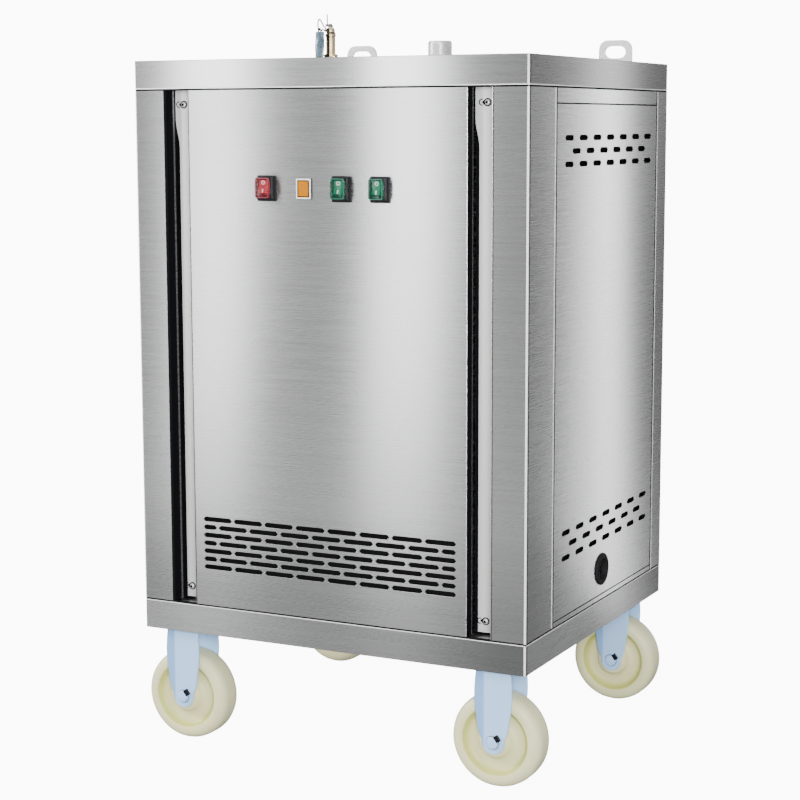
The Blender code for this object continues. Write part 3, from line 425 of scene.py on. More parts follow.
SLOT_LOOKS = {
    "brushed_stainless": STEEL, "satin_steel": SATIN, "zinc_plate": ZINC, "cream_nylon": NYLON,
    "brass": BRASS, "black_plastic": BLACK, "red_rocker": RED, "green_rocker": GREEN,
    "amber_lens": AMBER, "white_bezel": WHITE, "black_rubber": RUBBER, "tag_plastic": TAG,
    "copper_tube": COPPER, "tank_plastic": TANK, "pump_casting": CAST, "box_enamel": ENAMEL,
}


# ---------------------------------------------------------------- mesh helpers
def skin(mesh, loops, closed=False, capped=True):
    """Joins equal loops of points with quads; an open row gets caps unless told otherwise."""
    rows = [[mesh.verts.new(point) for point in loop] for loop in loops]
    count = len(rows[0])
    pairs = list(zip(rows, rows[1:]))
    if closed:
        pairs.append((rows[-1], rows[0]))
    for low, high in pairs:
        for i in range(count):
            j = (i + 1) % count
            mesh.faces.new((low[i], low[j], high[j], high[i]))
    if capped and not closed:
        mesh.faces.new(rows[0])
        mesh.faces.new(rows[-1])


def set_on(axis, u, v, w):
    """A point from outline coordinates u, v and height w along the axis."""
    return {"X": (w, u, v), "Y": (u, w, v), "Z": (u, v, w)}[axis]


def prism(mesh, outline, axis, low, high):
    skin(mesh, [[set_on(axis, u, v, w) for u, v in outline] for w in (low, high)])


def lathe(mesh, profile, sides, axis="Z", closed=False, at=(0, 0, 0)):
    """Turns (radius, height) about the axis. A third value "hex" makes that section a hexagon."""
    loops = []
    for section in profile:
        radius, height = section[:2]
        loop = []
        for i in range(sides):
            turn = 2 * math.pi * i / sides
            r = radius
            if len(section) > 2:
                r = radius / math.cos((turn + math.pi / 6) % (math.pi / 3) - math.pi / 6)
            point = set_on(axis, r * math.cos(turn), r * math.sin(turn), height)
            loop.append([a + b for a, b in zip(point, at)])
        loops.append(loop)
    skin(mesh, loops, closed)


def round_rect(half_u, half_v, corner, steps=6):
    """A rectangle's outline with round corners."""
    points = []
    centres = ((1, 1, 0), (-1, 1, 90), (-1, -1, 180), (1, -1, 270))
    for su, sv, start in centres:
        for i in range(steps + 1):
            turn = math.radians(start + 90 * i / steps)
            points.append((su * (half_u - corner) + corner * math.cos(turn),
                           sv * (half_v - corner) + corner * math.sin(turn)))
    return points


def sweep(mesh, route, radius, sides=12, closed=False):
    """A round bar along a smooth line through the points."""
    points = smooth_line([Vector(p) for p in route], 6, closed)
    up = Vector((0.13, 0.31, 0.94)).normalized()
    loops, count = [], len(points)
    for i, point in enumerate(points):
        after = points[(i + 1) % count if closed else min(i + 1, count - 1)]
        before = points[i - 1 if closed or i else 0]
        ahead = (after - before).normalized()
        across = ahead.cross(up).normalized()
        up = across.cross(ahead).normalized()
        loops.append([point + (across * math.cos(a) + up * math.sin(a)) * radius
                      for a in (2 * math.pi * k / sides for k in range(sides))])
    skin(mesh, loops, closed)


def smooth_line(points, steps, closed=False):
    """Catmull-Rom points through the given ones."""
    count = len(points)
    spans = count if closed else count - 1
    made = []
    for i in range(spans):
        if closed:
            a, b, c, d = (points[(i + k) % count] for k in (-1, 0, 1, 2))
        else:
            a, b, c, d = (points[max(0, min(count - 1, i + k))] for k in (-1, 0, 1, 2))
        for k in range(steps):
            t = k / steps
            made.append(0.5 * (2 * b + (c - a) * t + (2 * a - 5 * b + 4 * c - d) * t ** 2
                               + (3 * b - a - 3 * c + d) * t ** 3))
    if not closed:
        made.append(points[-1])
    return made


def piece(name, build, look, body=CABINET, at=(0, 0, 0), turn=None, stands_for=(),
          bevel=0.0, sharp=35.0):
    """Makes one closed piece, bevels its edges, and lets it ride on its body."""
    mesh = bmesh.new()
    build(mesh)
    bmesh.ops.remove_doubles(mesh, verts=mesh.verts, dist=1e-7)
    bmesh.ops.recalc_face_normals(mesh, faces=mesh.faces)
    data = bpy.data.meshes.new(name)
    mesh.to_mesh(data)
    mesh.free()
    data.shade_smooth()
    data.set_sharp_from_angle(angle=math.radians(sharp))
    made = bpy.data.objects.new(name, data)
    made.location = at
    if turn is not None:
        made.rotation_euler = turn
    made.data.materials.append(look)
    bpy.context.scene.collection.objects.link(made)
    if bevel:
        round_edges(made, bevel)
    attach(made, body)
    if stands_for:
        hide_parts(*stands_for)
    return made


def round_edges(made, width, segments=2):
    """Small rounded edges with even shading."""
    weld = made.modifiers.new("weld", "WELD")
    weld.merge_threshold = 1e-6
    bevel = made.modifiers.new("edges", "BEVEL")
    bevel.width = width
    bevel.segments = segments
    bevel.limit_method = "ANGLE"
    bevel.angle_limit = math.radians(30)
    bevel.use_clamp_overlap = True
    bevel.harden_normals = True
    made.modifiers.new("shading", "WEIGHTED_NORMAL").keep_sharp = True


# ---------------------------------------------------------------- CAD nodes
for entry in frame["record"]["subparts"]:
    node = NODES[entry["node"]]
    node.data.materials.clear()
    node.data.materials.append(SLOT_LOOKS[entry["material_slot"]])

SOFT_EDGES = {
    0.8 * MM: ("base_tray", "top_cover", "rear_panel", "rail_top_left", "rail_top_right",
               "rail_bottom_left", "rail_bottom_right", "post_front_left", "post_front_right",
               "post_rear_left", "post_rear_right"),
    0.4 * MM: ("front_panel", "side_panel_left", "side_panel_right", "channel_strip_left",
               "channel_strip_right", "indicator_bezel", "indicator_lens"),
    0.6 * MM: ("lug_left", "lug_right", "contactor_box", "switch_housing_red",
               "switch_housing_green_left", "switch_housing_green_right", "rocker_red",
               "rocker_green_left", "rocker_green_right"),
}
for width, names in SOFT_EDGES.items():
    for name in names:
        round_edges(NODES[name], width)
for name in ("lug_left", "lug_right"):
    NODES[name].data.materials[0] = STEEL_PLAIN
for name in ("post_front_left", "post_front_right", "front_panel"):
    NODES[name].data.materials[0] = STEEL_CHANNEL
for name in ("channel_strip_left", "channel_strip_right"):
    NODES[name].data.materials[0] = STRIP
NODES["top_cover"].data.materials[0] = STEEL_CAP
NODES["base_tray"].data.materials[0] = STEEL_PLINTH


# ---------------------------------------------------------------- seams, painted highlights, and painted shade at the channels and behind the vents
def ring(half_x, half_y, width, low, high):
    """A flat frame round the cabinet."""
    def build(mesh):
        outer = round_rect(half_x, half_y, 2 * MM, 3)
        inner = round_rect(half_x - width, half_y - width, 1 * MM, 3)
        skin(mesh, [[(u, v, z) for u, v in outline] for outline, z in
                    ((outer, low), (outer, high), (inner, high), (inner, low))], closed=True)
    return build


REAR = TRAY_HIGH.y
PROUD = 0.15 * MM
PLINTH_TOP = BASE_Z + 48.5 * MM


def plate(axis, low, high):
    """A box from corner to corner."""
    def build(mesh):
        u, v, w = {"X": (1, 2, 0), "Y": (0, 2, 1)}[axis]
        prism(mesh, [(low[u], low[v]), (high[u], low[v]), (high[u], high[v]), (low[u], high[v])],
              axis, low[w], high[w])
    return build


def fold_bar(mesh):
    """Thin upright bar that rounds a corner post's outer fold."""
    lathe(mesh, [(1.15 * MM, PANEL_LOW.z + 0.2 * MM), (1.15 * MM, PANEL_HIGH.z - 0.2 * MM)], 24)


# dark seals are wider than the sheets' joints and stand proud, so that they read as lines; the bright bands beside
# them are painted highlights of the folds
for name, low, high, look, slot in (
        ("seam_seal_top", PANEL_HIGH.z - 0.6 * MM, COVER_LOW.z + 0.8 * MM, DULL_BLACK,
         "black_rubber"),
        ("seam_seal_low", PLINTH_TOP - 0.6 * MM, PANEL_LOW.z + 0.7 * MM, DULL_BLACK,
         "black_rubber"),
        ("cap_fold_highlight", COVER_LOW.z + 0.85 * MM, COVER_LOW.z + 2.3 * MM, FOLD_HIGHLIGHT, "brushed_stainless"),
        ("plinth_fold_highlight", PLINTH_TOP - 2.0 * MM, PLINTH_TOP - 0.65 * MM, FOLD_HIGHLIGHT,
         "brushed_stainless")):
    piece(name, ring(SIDE + PROUD, REAR + PROUD, 5 * MM, low, high), look)

for word, side in (("left", -1), ("right", 1)):
    near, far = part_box(f"side_panel_{word}")
    edges = sorted((side * (SIDE + PROUD), side * (SIDE - 3 * MM)))
    for end, y, away in (("front", near.y, -1), ("rear", far.y, 1)):
        dark = sorted((y - 2.2 * MM * away, y + 1.7 * MM * away))
        light = sorted((y + 1.75 * MM * away, y + 5.4 * MM * away))
        # dark seals at the joints, and beside them bright bands as painted highlights of the folds
        for kind, (y0, y1), look, slot in (
                ("seal", dark, DULL_BLACK, "black_rubber"),
                ("highlight", light, FOLD_HIGHLIGHT, "brushed_stainless")):
            piece(f"side_{kind}_{word}_{end}",
                  plate("X", (edges[0], y0, PANEL_LOW.z + 0.2 * MM),
                        (edges[1], y1, PANEL_HIGH.z - 0.2 * MM)), look)
    for end, z in (("low", near.z - 0.6 * MM), ("high", far.z + 0.6 * MM)):
        piece(f"side_seal_{word}_{end}",
              plate("X", (edges[0], near.y, z - 1.0 * MM), (edges[1], far.y, z + 1.0 * MM)),
              DULL_BLACK)
    # the fold bars take the bright look, as a painted highlight on the corner folds
    for end, y in (("front", FRONT + 0.9 * MM), ("rear", REAR - 0.9 * MM)):
        piece(f"corner_fold_{word}_{end}", fold_bar, FOLD_HIGHLIGHT,
              at=(side * (SIDE - 0.9 * MM), y, 0))

# a painted highlight and painted shade beside it, on the front right corner only
for name, low, high in (("cap", COVER_LOW.z + 2.4 * MM, TOP_Z - 1.0 * MM),
                        ("post", PANEL_LOW.z + 0.8 * MM, PANEL_HIGH.z - 0.7 * MM),
                        ("plinth", BASE_Z + 1.0 * MM, PLINTH_TOP - 2.1 * MM)):
    piece(f"corner_highlight_{name}",
          plate("Y", (SIDE - 3.0 * MM, FRONT - PROUD, low), (SIDE + PROUD, FRONT + 1.6 * MM, high)),
          FOLD_HIGHLIGHT)
    piece(f"corner_shade_{name}",
          plate("X", (SIDE - 2 * MM, FRONT + 1.7 * MM, low), (SIDE + PROUD, FRONT + 6.2 * MM, high)),
          DARK_STEEL)
# dark lines at the channels' edges: painted shade
for name, x in (("left", -0.2406), ("right", 0.2838)):
    piece(f"channel_edge_shade_{name}",
          plate("Y", (x - 0.8 * MM, FRONT - 0.1 * MM, PANEL_LOW.z + 0.8 * MM),
                (x + 0.8 * MM, FRONT + 0.4 * MM, PANEL_HIGH.z - 0.7 * MM)), DARK_STEEL)

VENT_Z = {"low": BASE_Z + 171.2 * MM, "high": BASE_Z + 782.1 * MM}
# black plates behind the vent holes: painted shade, so the holes read dark inside
piece("vent_shade_front", plate("Y", (-0.236, FRONT + 14 * MM, BASE_Z + 0.100),
                                 (0.236, FRONT + 15 * MM, BASE_Z + 0.206)),
      DULL_BLACK)
for word, side in (("left", -1), ("right", 1)):
    for level, z in VENT_Z.items():
        near, far = side * (SIDE - 12 * MM), side * (SIDE - 13 * MM)
        piece(f"vent_shade_{word}_{level}",
              plate("X", (min(near, far), 0.0313 - 0.212, z - 0.032),
                    (max(near, far), 0.0313 + 0.212, z + 0.032)), DULL_BLACK)
piece("vent_shade_rear", plate("Y", (-0.225, REAR - 13 * MM, VENT_Z["high"] - 0.032),
                                (0.225, REAR - 12 * MM, VENT_Z["high"] + 0.032)),
      DULL_BLACK)


# ---------------------------------------------------------------- switches and lamp
CAP_UP = 1.0 * MM            # the waterproof cap stands a little above the rocker's pins


def shell(mesh, outer, inner):
    """Closed cup between an outer and an inner row of round-cornered sections."""
    rows = [[[mesh.verts.new((u * MM, y * MM, v * MM)) for u, v in round_rect(a, b, c)]
             for a, b, y, c in sections] for sections in (outer, inner)]
    for sections in rows:
        for one, two in zip(sections, sections[1:]):
            for i in range(len(one)):
                j = (i + 1) % len(one)
                mesh.faces.new((one[i], one[j], two[j], two[i]))
        mesh.faces.new(sections[-1])
    low, high = rows[0][0], rows[1][0]
    for i in range(len(low)):
        j = (i + 1) % len(low)
        mesh.faces.new((low[i], low[j], high[j], high[i]))


def seal(mesh):
    """Moulded waterproof cap: upright walls and a crowned window."""
    outer = ((12.4, 15.9, -12.2, 2.6), (12.2, 15.7, -15.0, 2.9), (11.8, 15.2, -17.6, 3.1),
             (11.1, 14.4, -18.7, 3.4), (9.0, 12.4, -19.2, 3.6))
    inner = [(a - 0.45, b - 0.45, y + (0.5 if i else 0.0), c - 0.4)
             for i, (a, b, y, c) in enumerate(outer) if i != 1]
    shell(mesh, outer, inner)


def collar(mesh):
    """Black sleeve from the flange to the cap, with an open mouth."""
    sections = ((13.3, 17.0, -8.6, 2.2), (13.3, 17.0, -10.4, 2.2), (13.0, 16.5, -12.5, 2.4),
                (11.9, 15.3, -12.5, 2.2), (11.9, 15.3, -8.6, 2.2))
    skin(mesh, [[(u * MM, y * MM, v * MM) for u, v in round_rect(a, b, c)]
                for a, b, y, c in sections], closed=True)


def seal_rim(mesh):
    """Raised bead round the cap's window, in a lighter colour as a painted highlight along the cap's outline."""
    sweep(mesh, [(u * MM, -18.1 * MM, v * MM) for u, v in round_rect(11.5, 14.8, 3.2, 2)],
          0.42 * MM, 8, closed=True)


ROCKER_TILT = math.radians(-10)
ROCKER_NOSE, ROCKER_WAIST, ROCKER_HALF = 17.2 * MM, 15.6 * MM, 10.2 * MM


def rocker_body(mesh):
    """Shallow V rocker, top half pressed in, with its two pins."""
    nose, waist, half = ROCKER_NOSE, ROCKER_WAIST, ROCKER_HALF
    outline = [(6 * MM, -6 * MM), (-4 * MM, -half), (-nose, -half), (-waist, 0.0), (-nose, half),
               (-4 * MM, half), (6 * MM, 6 * MM)]
    tilt = Matrix.Rotation(-ROCKER_TILT, 2)
    prism(mesh, [tuple(tilt.inverted() @ Vector(p)) for p in outline], "X", -7.2 * MM, 7.2 * MM)


def rocker_marks(word, at):
    """Raised O and I marks, riding on the rocker; each lies on its own half."""
    slope = math.atan2(ROCKER_NOSE - ROCKER_WAIST, ROCKER_HALF)

    def mark(shape, share, side):
        centre = Vector((0, -(ROCKER_WAIST + share * (ROCKER_NOSE - ROCKER_WAIST)) - 0.10 * MM,
                         side * share * ROCKER_HALF))
        lean = Matrix.Rotation(side * slope, 4, "X")
        turn = Matrix.Rotation(ROCKER_TILT, 4, "X") @ Matrix.Translation(centre) @ lean

        def build(mesh):
            shape(mesh)
            bmesh.ops.transform(mesh, matrix=turn, verts=mesh.verts)
        return build

    def ring_mark(mesh):
        outer, inner, half = 3.2 * MM, 1.9 * MM, 0.16 * MM
        lathe(mesh, [(inner, -half), (outer, -half), (outer, half), (inner, half)], 32, "Y",
              closed=True)

    def bar_mark(mesh):
        prism(mesh, round_rect(0.95 * MM, 3.0 * MM, 0.5 * MM, 3), "Y", -0.14 * MM, 0.14 * MM)

    for text, shape, share, side in (("off", ring_mark, 0.62, 1), ("on", bar_mark, 0.62, -1)):
        piece(f"rocker_mark_{text}_{word}", mark(shape, share, side), MARK, f"rocker_{word}", at)


for word in ("red", "green_left", "green_right"):
    pivot = Vector(JOINTS[f"rocker_{word}_tilt"]["pos_m"])
    at = (pivot.x, FRONT, pivot.z + CAP_UP)
    colour = word.split("_")[0]
    looks = {"red": (RED, SEAL_RED, RIM_RED), "green": (GREEN, SEAL_GREEN, RIM_GREEN)}[colour]
    slot = f"{colour}_rocker"
    piece(f"rocker_body_{word}", rocker_body, looks[0], f"rocker_{word}", pivot,
          stands_for=[f"rocker_{word}"], bevel=0.5 * MM)
    piece(f"rocker_seal_{word}", seal, looks[1], at=at)
    piece(f"rocker_rim_{word}", seal_rim, looks[2], at=at)
    piece(f"rocker_collar_{word}", collar, BLACK, at=at)
    rocker_marks(word, pivot)


def lamp_gasket(mesh):
    low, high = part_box("indicator_bezel")
    half_u, half_v = (high.x - low.x) / 2 + 0.25 * MM, (high.z - low.z) / 2 + 0.25 * MM
    rows = []
    for grow, y in ((0, -0.05), (0, -2.5), (-1.0, -2.5), (-1.0, -0.05)):
        rows.append([(u, y * MM, v) for u, v in
                     round_rect(half_u + grow * MM, half_v + grow * MM, 1.2 * MM)])
    skin(mesh, rows, closed=True)


lamp = middle("indicator_bezel")
# the bezel's flange lies inside the gasket's mouth, so the gasket's side shows round it
piece("indicator_gasket", lamp_gasket, BLACK, at=(lamp.x, FRONT, lamp.z))


def lens_edge(mesh):
    """Dark line round the lens, where it meets the bezel."""
    low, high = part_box("indicator_lens")
    half_u, half_v = (high.x - low.x) / 2 + 0.1 * MM, (high.z - low.z) / 2 + 0.1 * MM
    skin(mesh, [[(u, y, v) for u, v in round_rect(half_u - less, half_v - less, 0.5 * MM, 2)]
                for less, y in ((0.0, low.y - 0.35 * MM), (1.3 * MM, low.y - 0.35 * MM),
                                (1.3 * MM, low.y - 0.05 * MM), (0.0, low.y - 0.05 * MM))],
         closed=True)


piece("indicator_lens_edge", lens_edge, DULL_BLACK, at=(lamp.x, 0, lamp.z))


# ---------------------------------------------------------------- castors
WHEEL_PROFILE = ((6.1, 27.5), (21.5, 27.5), (23.8, 27.0), (25.4, 25.2), (27.4, 20.0),
                 (30.0, 16.6), (34.5, 14.9), (40.0, 14.1), (45.0, 14.3), (48.4, 15.6),
                 (50.8, 18.4), (52.8, 22.2), (54.4, 24.2), (56.4, 25.0), (62.5, 24.9),
                 (66.8, 23.9), (70.3, 21.6), (72.9, 18.2), (74.4, 14.0), (75.0, 9.0),
                 (75.0, 3.0))
FORK_IN, FORK_OUT = 28.5, 32.5
PLATE_T = 4.0


def wheel(mesh):
    near = [(r * MM, h * MM) for r, h in WHEEL_PROFILE]
    far = [(r, -h) for r, h in reversed(near)]
    lathe(mesh, near + far, 96, "Y", closed=True)


def fork_outline(top):
    """Half of a leg: straight neck, slight barrel, long taper to the round end."""
    route = [(28.8, top), (30.4, top - 12), (31.6, top - 30), (31.4, top - 46), (29.0, top - 66),
             (24.8, 19.0), (20.9, 8.0)]
    half = [(p.x, p.z) for p in smooth_line([Vector((u, 0, v)) for u, v in route], 4)]
    for i in range(1, 10):
        turn = math.radians(22 - (22 + 90) * i / 9)
        half.append((18.8 * math.cos(turn), 18.8 * math.sin(turn)))
    return [(u * MM, v * MM) for u, v in half]


def castor_fork(top):
    def build(mesh):
        half = fork_outline(top / MM - PLATE_T + 1)
        outline = half + [(-u, v) for u, v in reversed(half[:-1])]
        for side in (-1, 1):
            prism(mesh, outline, "Y", side * FORK_IN * MM, side * FORK_OUT * MM)
        prism(mesh, round_rect(52.5 * MM, 33.5 * MM, 7 * MM), "Z", top - PLATE_T * MM, top)
    return build


def axle(mesh):
    """Low round head in front, shank, and a threaded end behind."""
    head, tail = -(FORK_OUT + 0.4), FORK_OUT + 12.5
    rows = [(0.5, head - 4.2), (7.0, head - 4.0), (9.2, head - 3.4), (10.0, head - 2.4),
            (10.2, head - 0.4), (10.0, head), (6.0, head), (6.0, FORK_OUT)]
    turns = 7
    for i in range(turns):
        y = FORK_OUT + 1.0 + i * 1.4
        rows += [(6.0, y), (5.4, y + 0.7)]
    rows += [(5.2, tail + 0.6), (4.4, tail + 1.4)]
    lathe(mesh, [(r * MM, h * MM) for r, h in rows], 40, "Y")


def axle_ring(mesh):
    """Dark line where the bolt's head meets the leg."""
    lathe(mesh, [(r * MM, h * MM) for r, h in
                 ((9.8, -FORK_OUT), (11.1, -FORK_OUT), (11.1, -FORK_OUT - 0.5),
                  (9.8, -FORK_OUT - 0.5))], 40, "Y", closed=True)


def nut(mesh):
    low, high = FORK_OUT + 0.4, FORK_OUT + 10.4
    rows = ((6.4, low), (12.0, low), (12.0, low + 1.6), (9.5, low + 1.7, "hex"),
            (9.5, high - 0.8, "hex"), (8.9, high), (6.4, high))
    lathe(mesh, [(row[0] * MM, row[1] * MM, *row[2:]) for row in rows], 48, "Y", closed=True)


def notch_shade(mesh):
    """Black block over the edge of the bolt's head: painted shade standing for a dark notch in the leg there."""
    front = -(FORK_OUT + 5.2) * MM
    prism(mesh, round_rect(3.3 * MM, 5.2 * MM, 0.6 * MM, 3), "Y", front, -FORK_OUT * MM)
    bmesh.ops.rotate(mesh, verts=mesh.verts, cent=(0, 0, 0),
                     matrix=Matrix.Rotation(math.radians(-36), 3, "Y"))
    bmesh.ops.translate(mesh, verts=mesh.verts, vec=(8.6 * MM, 0, 8.0 * MM))


def plate_bolt(mesh):
    """Low domed head under the castor's plate."""
    lathe(mesh, [(r * MM, h * MM) for r, h in
                 ((8.4, -0.1), (8.4, -0.9), (7.6, -2.0), (5.2, -2.9), (1.0, -3.2))], 32)


for corner in ("front_left", "front_right", "rear_left", "rear_right"):
    hub = Vector(JOINTS[f"wheel_{corner}_spin"]["pos_m"])
    fork_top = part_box(f"castor_fork_{corner}")[1].z - hub.z
    piece(f"wheel_{corner}", wheel, NYLON, f"wheel_{corner}", hub,
          stands_for=[f"castor_wheel_{corner}"], sharp=50)
    piece(f"fork_{corner}", castor_fork(fork_top), ZINC_LEG, at=hub,
          stands_for=[f"castor_fork_{corner}"], bevel=1.3 * MM)
    piece(f"axle_bolt_{corner}", axle, ZINC, at=hub, stands_for=[f"castor_axle_{corner}"],
          sharp=50)
    piece(f"axle_nut_{corner}", nut, ZINC, at=hub, stands_for=[f"castor_nut_{corner}"])
    piece(f"axle_ring_{corner}", axle_ring, PIN, at=hub)
    piece(f"axle_notch_shade_{corner}", notch_shade, BLACK, at=hub, bevel=0.3 * MM)
    for word, u in (("left", -43), ("right", 43)):
        piece(f"plate_bolt_{corner}_{word}", plate_bolt, ZINC,
              at=hub + Vector((u * MM, 0, fork_top - PLATE_T * MM)))


# ---------------------------------------------------------------- strip screws
def button_screw(mesh):
    """Button head with a hexagon socket; the face looks towards -Y."""
    rows = [(2.4, 15.0), (2.4, 0.1), (4.5, 0.0), (4.6, -0.5), (4.3, -1.5), (3.7, -2.5),
            (2.9, -3.1), (2.2, -3.3), (1.85, -3.3, "hex"), (1.85, -1.4, "hex"), (0.4, -1.2)]
    lathe(mesh, [(row[0] * MM, row[1] * MM, *row[2:]) for row in rows], 36, "Y")


def screw_washer(mesh):
    """Dark washer that shows round the head."""
    lathe(mesh, [(r * MM, h * MM) for r, h in
                 ((4.3, -0.05), (6.2, -0.05), (6.2, -0.75), (4.3, -0.75))], 32, "Y", closed=True)


# black plug over the hex socket: painted shade, so the socket reads dark
def socket_shade(mesh):
    lathe(mesh, [(2.2 * MM, -2.9 * MM), (2.2 * MM, -3.7 * MM), (0.3 * MM, -3.7 * MM)], 24, "Y")


def slot_shadow(mesh):
    """Painted shadow at the far end of the slot that the screw sits in."""
    loops = []
    for i in range(15):
        turn = math.radians(70 + 220 * i / 14)
        loops.append([(r * math.cos(turn) * MM, y * MM, r * math.sin(turn) * MM)
                      for r, y in ((3.4, -0.02), (4.9, -0.02), (4.9, -0.3), (3.4, -0.3))])
    skin(mesh, loops)


for word in ("left_top", "left_bottom", "right_top", "right_bottom"):
    low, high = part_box(f"strip_screw_{word}")
    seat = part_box("channel_strip_left")[0].y
    piece(f"button_screw_{word}", button_screw, STEEL_PLAIN,
          at=((low.x + high.x) / 2, seat - 0.1 * MM, (low.z + high.z) / 2),
          stands_for=[f"strip_screw_{word}"])
    spot = Vector(((low.x + high.x) / 2, seat, (low.z + high.z) / 2))
    piece(f"screw_washer_{word}", screw_washer, DULL_BLACK, at=spot)
    piece(f"slot_shadow_{word}", slot_shadow, DULL_BLACK, at=spot - Vector((9.6 * MM, 0, 0)))
    piece(f"socket_shade_{word}", socket_shade, DULL_BLACK, at=spot)


# ---------------------------------------------------------------- fittings on the cap
def outlet(mesh):
    """Hexagon base, relief groove and a pipe thread cut as close turns, with an open bore."""
    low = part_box("steam_outlet")[0].z - TOP_Z
    rows = [(16.0, low / MM), (20.7, low / MM), (20.7, 0.3), (25.4, 0.3), (24.9, 0.8, "hex"),
            (24.9, 12.4, "hex"), (23.4, 13.2), (19.6, 13.4), (19.6, 15.4)]
    pitch, turns = 2.31, 9
    for i in range(turns):
        z = 15.6 + i * pitch
        rows += [(19.7, z), (20.9, z + 0.45 * pitch), (20.9, z + 0.55 * pitch)]
    rows += [(19.6, 37.0), (19.4, 38.6), (18.6, 39.4), (16.6, 39.5), (16.0, 38.9)]
    lathe(mesh, [(row[0] * MM, row[1] * MM, *row[2:]) for row in rows], 72, closed=True)


port = middle("steam_outlet")
piece("outlet_stub", outlet, STUB, at=(port.x, port.y, TOP_Z), stands_for=["steam_outlet"])


def valve_shell(mesh):
    """Turned brass body: hexagon, barrel, collar, neck and domed bonnet round the pin's bore."""
    low = (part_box("valve_body")[0].z - TOP_Z) / MM
    rows = [(9.7, low), (9.7, 0.3), (12.6, 0.3), (12.6, 1.8), (10.9, 2.2, "hex"),
            (10.9, 17.0, "hex"), (10.6, 17.6), (12.8, 18.0), (12.8, 20.6), (8.4, 21.0),
            (8.1, 22.0), (8.1, 50.6), (8.4, 51.4), (9.2, 52.2), (9.3, 54.8), (8.6, 56.0),
            (6.9, 56.4), (6.9, 58.0), (7.6, 58.6), (7.6, 62.6), (7.0, 64.0), (6.4, 65.6),
            (4.6, 66.8), (2.6, 67.0), (2.4, 66.2), (2.4, 40.0)]
    lathe(mesh, [(row[0] * MM, row[1] * MM, *row[2:]) for row in rows], 48)


valve = middle("valve_body")
VALVE_AT = Vector((valve.x, valve.y, TOP_Z))
piece("valve_shell", valve_shell, BRASS_VALVE, at=VALVE_AT, stands_for=["valve_body"],
      sharp=40)
NODES["valve_stem"].data.materials[0] = PIN
round_edges(NODES["valve_stem"], 0.25 * MM)


def tag(mesh):
    """Bowed, slightly crumpled film."""
    columns, rows_n, half, height, thick = 10, 28, 8.6, 60.0, 0.7
    front, back = [], []
    for r in range(rows_n + 1):
        z = 1.0 + (height - 1.0) * r / rows_n
        line_front, line_back = [], []
        for c in range(columns + 1):
            share = c / columns * 2 - 1
            narrow = 1 - 0.06 * math.sin(z / 9.0)
            x = half * share * narrow - 2.2 * (1 - z / height)
            y = -2.4 * (1 - share ** 2) + 0.7 * math.sin(z / 5.3 + 1.7 * share)
            line_front.append(mesh.verts.new((x * MM, (y - thick / 2) * MM, z * MM)))
            line_back.append(mesh.verts.new((x * MM, (y + thick / 2) * MM, z * MM)))
        front.append(line_front)
        back.append(line_back)
    for sheet in (front, back):
        for r in range(rows_n):
            for c in range(columns):
                mesh.faces.new((sheet[r][c], sheet[r][c + 1], sheet[r + 1][c + 1],
                                sheet[r + 1][c]))
    rim = ([(0, c) for c in range(columns)] + [(r, columns) for r in range(rows_n)]
           + [(rows_n, c) for c in range(columns, 0, -1)] + [(r, 0) for r in range(rows_n, 0, -1)])
    for (r1, c1), (r2, c2) in zip(rim, rim[1:] + rim[:1]):
        mesh.faces.new((front[r1][c1], front[r2][c2], back[r2][c2], back[r1][c1]))


TAG_DX = -19.0
piece("seal_tag", tag, TAG, at=VALVE_AT + Vector((TAG_DX * MM, -4 * MM, 0)),
      stands_for=["valve_tag"])


def tag_wire(mesh):
    """Wire loop from the tag up and over to the valve's neck."""
    route = [(-20.4, -5.6, 56.0), (-21.8, -5.4, 66.0), (-22.4, -5.2, 74.0), (-21.0, -5.0, 80.5),
             (-17.6, -4.8, 80.4), (-14.4, -4.6, 75.0), (-11.4, -4.4, 69.4), (-7.6, -4.6, 66.0),
             (-4.0, -7.2, 60.0), (4.5, -6.4, 57.6), (7.6, 0.0, 57.4), (4.0, 6.8, 57.6),
             (-5.0, 6.4, 58.4), (-9.6, 0.6, 61.0), (-13.4, -4.6, 63.4), (-16.6, -5.6, 60.0),
             (-17.8, -5.8, 55.0)]
    sweep(mesh, [Vector(p) * MM for p in route], 1.35 * MM, 8)


piece("tag_wire", tag_wire, DARK_STEEL, at=VALVE_AT)


def tag_crimp(mesh):
    """Crimped seal that holds the wire's ends over the tag."""
    lathe(mesh, [(0.4 * MM, 0.0), (2.3 * MM, 0.3 * MM), (2.7 * MM, 1.4 * MM), (2.3 * MM, 2.6 * MM),
                 (0.4 * MM, 2.9 * MM)], 24, "Y")


piece("tag_crimp", tag_crimp, BLACK, at=VALVE_AT + Vector((-18.0, -8.6, 64.0)) * MM)


# ---------------------------------------------------------------- cable bush
def bush(mesh):
    rows = ((18.0, 2.6), (18.4, 3.4), (19.6, 3.9), (21.6, 4.0), (24.0, 3.7), (25.4, 3.0),
            (26.2, 2.2), (26.5, 1.6), (26.5, 0.4), (21.0, 0.4), (21.0, -1.9),
            (24.0, -1.9), (23.6, -3.6), (22.0, -6.0), (18.6, -6.0), (18.0, -5.6))
    lathe(mesh, [(r * MM, h * MM) for r, h in rows], 64, "X", closed=True)


bush_at = middle("cable_bush")
piece("cable_grommet", bush, RUBBER, at=(SIDE, bush_at.y, bush_at.z), stands_for=["cable_bush"],
      sharp=40)


# ---------------------------------------------------------------- floor, light, camera
BACKDROP = 11.0              # radiance that camera rays alone get from world and floor


def camera_rays(tree):
    return tree.nodes.new("ShaderNodeLightPath").outputs["Is Camera Ray"]


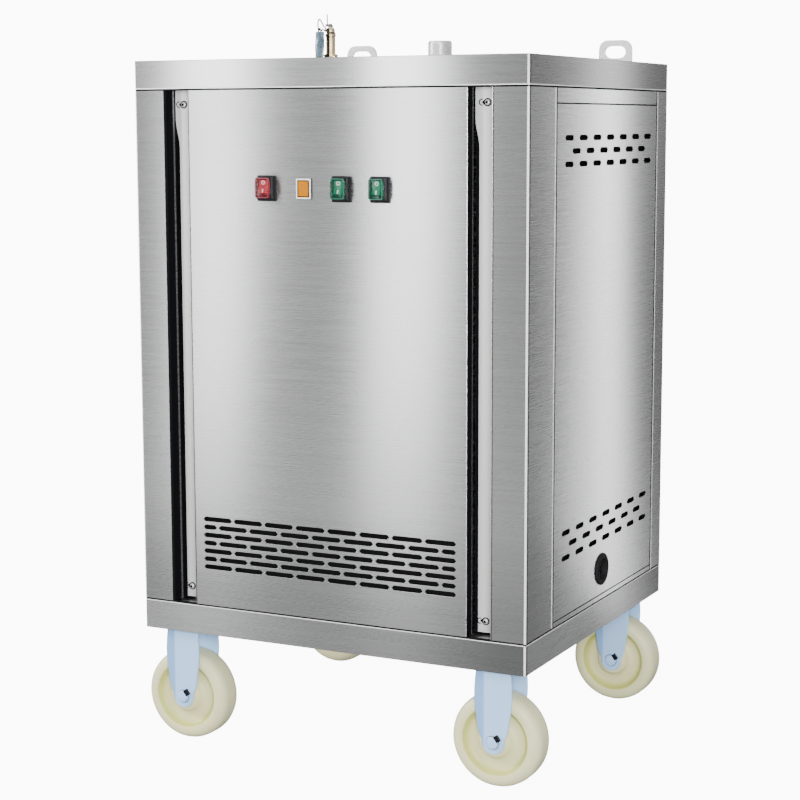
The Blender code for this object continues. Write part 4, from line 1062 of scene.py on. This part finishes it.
def stage_floor():
    """White studio floor: bright to the eye, but a grey bounce card to the metal."""
    mesh = bmesh.new()
    bmesh.ops.create_circle(mesh, cap_ends=True, segments=96, radius=60.0)
    data = bpy.data.meshes.new("studio_floor")
    mesh.to_mesh(data)
    mesh.free()
    made = bpy.data.objects.new("studio_floor", data)
    look = Look("floor_look", (0.24, 0.24, 0.24), 0.0, 0.8)
    look.shade(look.noise(look.place(), 1.5, 3.0), 0.98, 1.02)
    look.set("Emission Color", (1.0, 1.0, 1.0, 1.0))
    look.set("Emission Strength",
             look.maths("MULTIPLY", camera_rays(look.tree), BACKDROP - 0.4))
    data.materials.append(look.material)
    bpy.context.scene.collection.objects.link(made)


def area(name, at, aim, size, power, colour=(1.0, 1.0, 1.0)):
    """A soft rectangular light, seen only in what it lights."""
    data = bpy.data.lights.new(name, "AREA")
    data.shape = "RECTANGLE"
    data.size, data.size_y = size
    data.energy = power
    data.color = colour
    made = bpy.data.objects.new(name, data)
    made.location = at
    made.rotation_euler = (Vector(aim) - Vector(at)).to_track_quat("-Z", "Y").to_euler()
    made.visible_camera = False
    bpy.context.scene.collection.objects.link(made)


def studio():
    world = bpy.data.worlds.new("pale_studio")
    world.use_nodes = True
    tree = world.node_tree
    back = tree.nodes["Background"]
    back.inputs["Color"].default_value = (1.0, 1.0, 1.0, 1.0)
    light = tree.nodes.new("ShaderNodeMapRange")
    light.inputs["To Min"].default_value = 0.50
    light.inputs["To Max"].default_value = BACKDROP
    tree.links.new(camera_rays(tree), light.inputs["Value"])
    tree.links.new(light.outputs[0], back.inputs["Strength"])
    bpy.context.scene.world = world
    area("fill_camera", (1.9, -3.3, 1.2), (0, 0, 0.5), (1.2, 1.2), 190)
    area("fill_left", (-3.0, -1.4, 1.6), (0, 0, 0.4), (0.8, 0.8), 120)
    area("top", (-0.4, -0.4, 3.4), (0, 0, 0.6), (2.4, 2.4), 50)
    area("strip_left", (-0.83, -1.30, 0.95), (-0.19, -0.30, 0.75), (0.15, 1.3), 2.9)
    area("strip_middle", (-0.36, -1.30, 0.95), (0.15, -0.30, 0.75), (0.15, 1.3), 2.9)
    area("strip_side", (0.655, 0.873, 0.70), (0.34, 0.03, 0.65), (0.065, 1.6), 1.45)


def camera():
    """Lens and place found from the cabinet's own edges; no shift."""
    data = bpy.data.cameras.new("camera")
    data.lens = 87.44
    data.clip_end = 200.0
    made = bpy.data.objects.new("camera", data)
    yaw, pitch, roll = (math.radians(a) for a in (-26.554, -8.047, -0.148))
    made.matrix_world = (Matrix.Translation((1.4385, -2.9222, 1.0116))
                         @ Matrix.Rotation(-yaw, 4, "Z")
                         @ Matrix.Rotation(math.pi / 2 + pitch, 4, "X")
                         @ Matrix.Rotation(roll, 4, "Z"))
    bpy.context.scene.collection.objects.link(made)
    bpy.context.scene.camera = made


stage_floor()
studio()
camera()
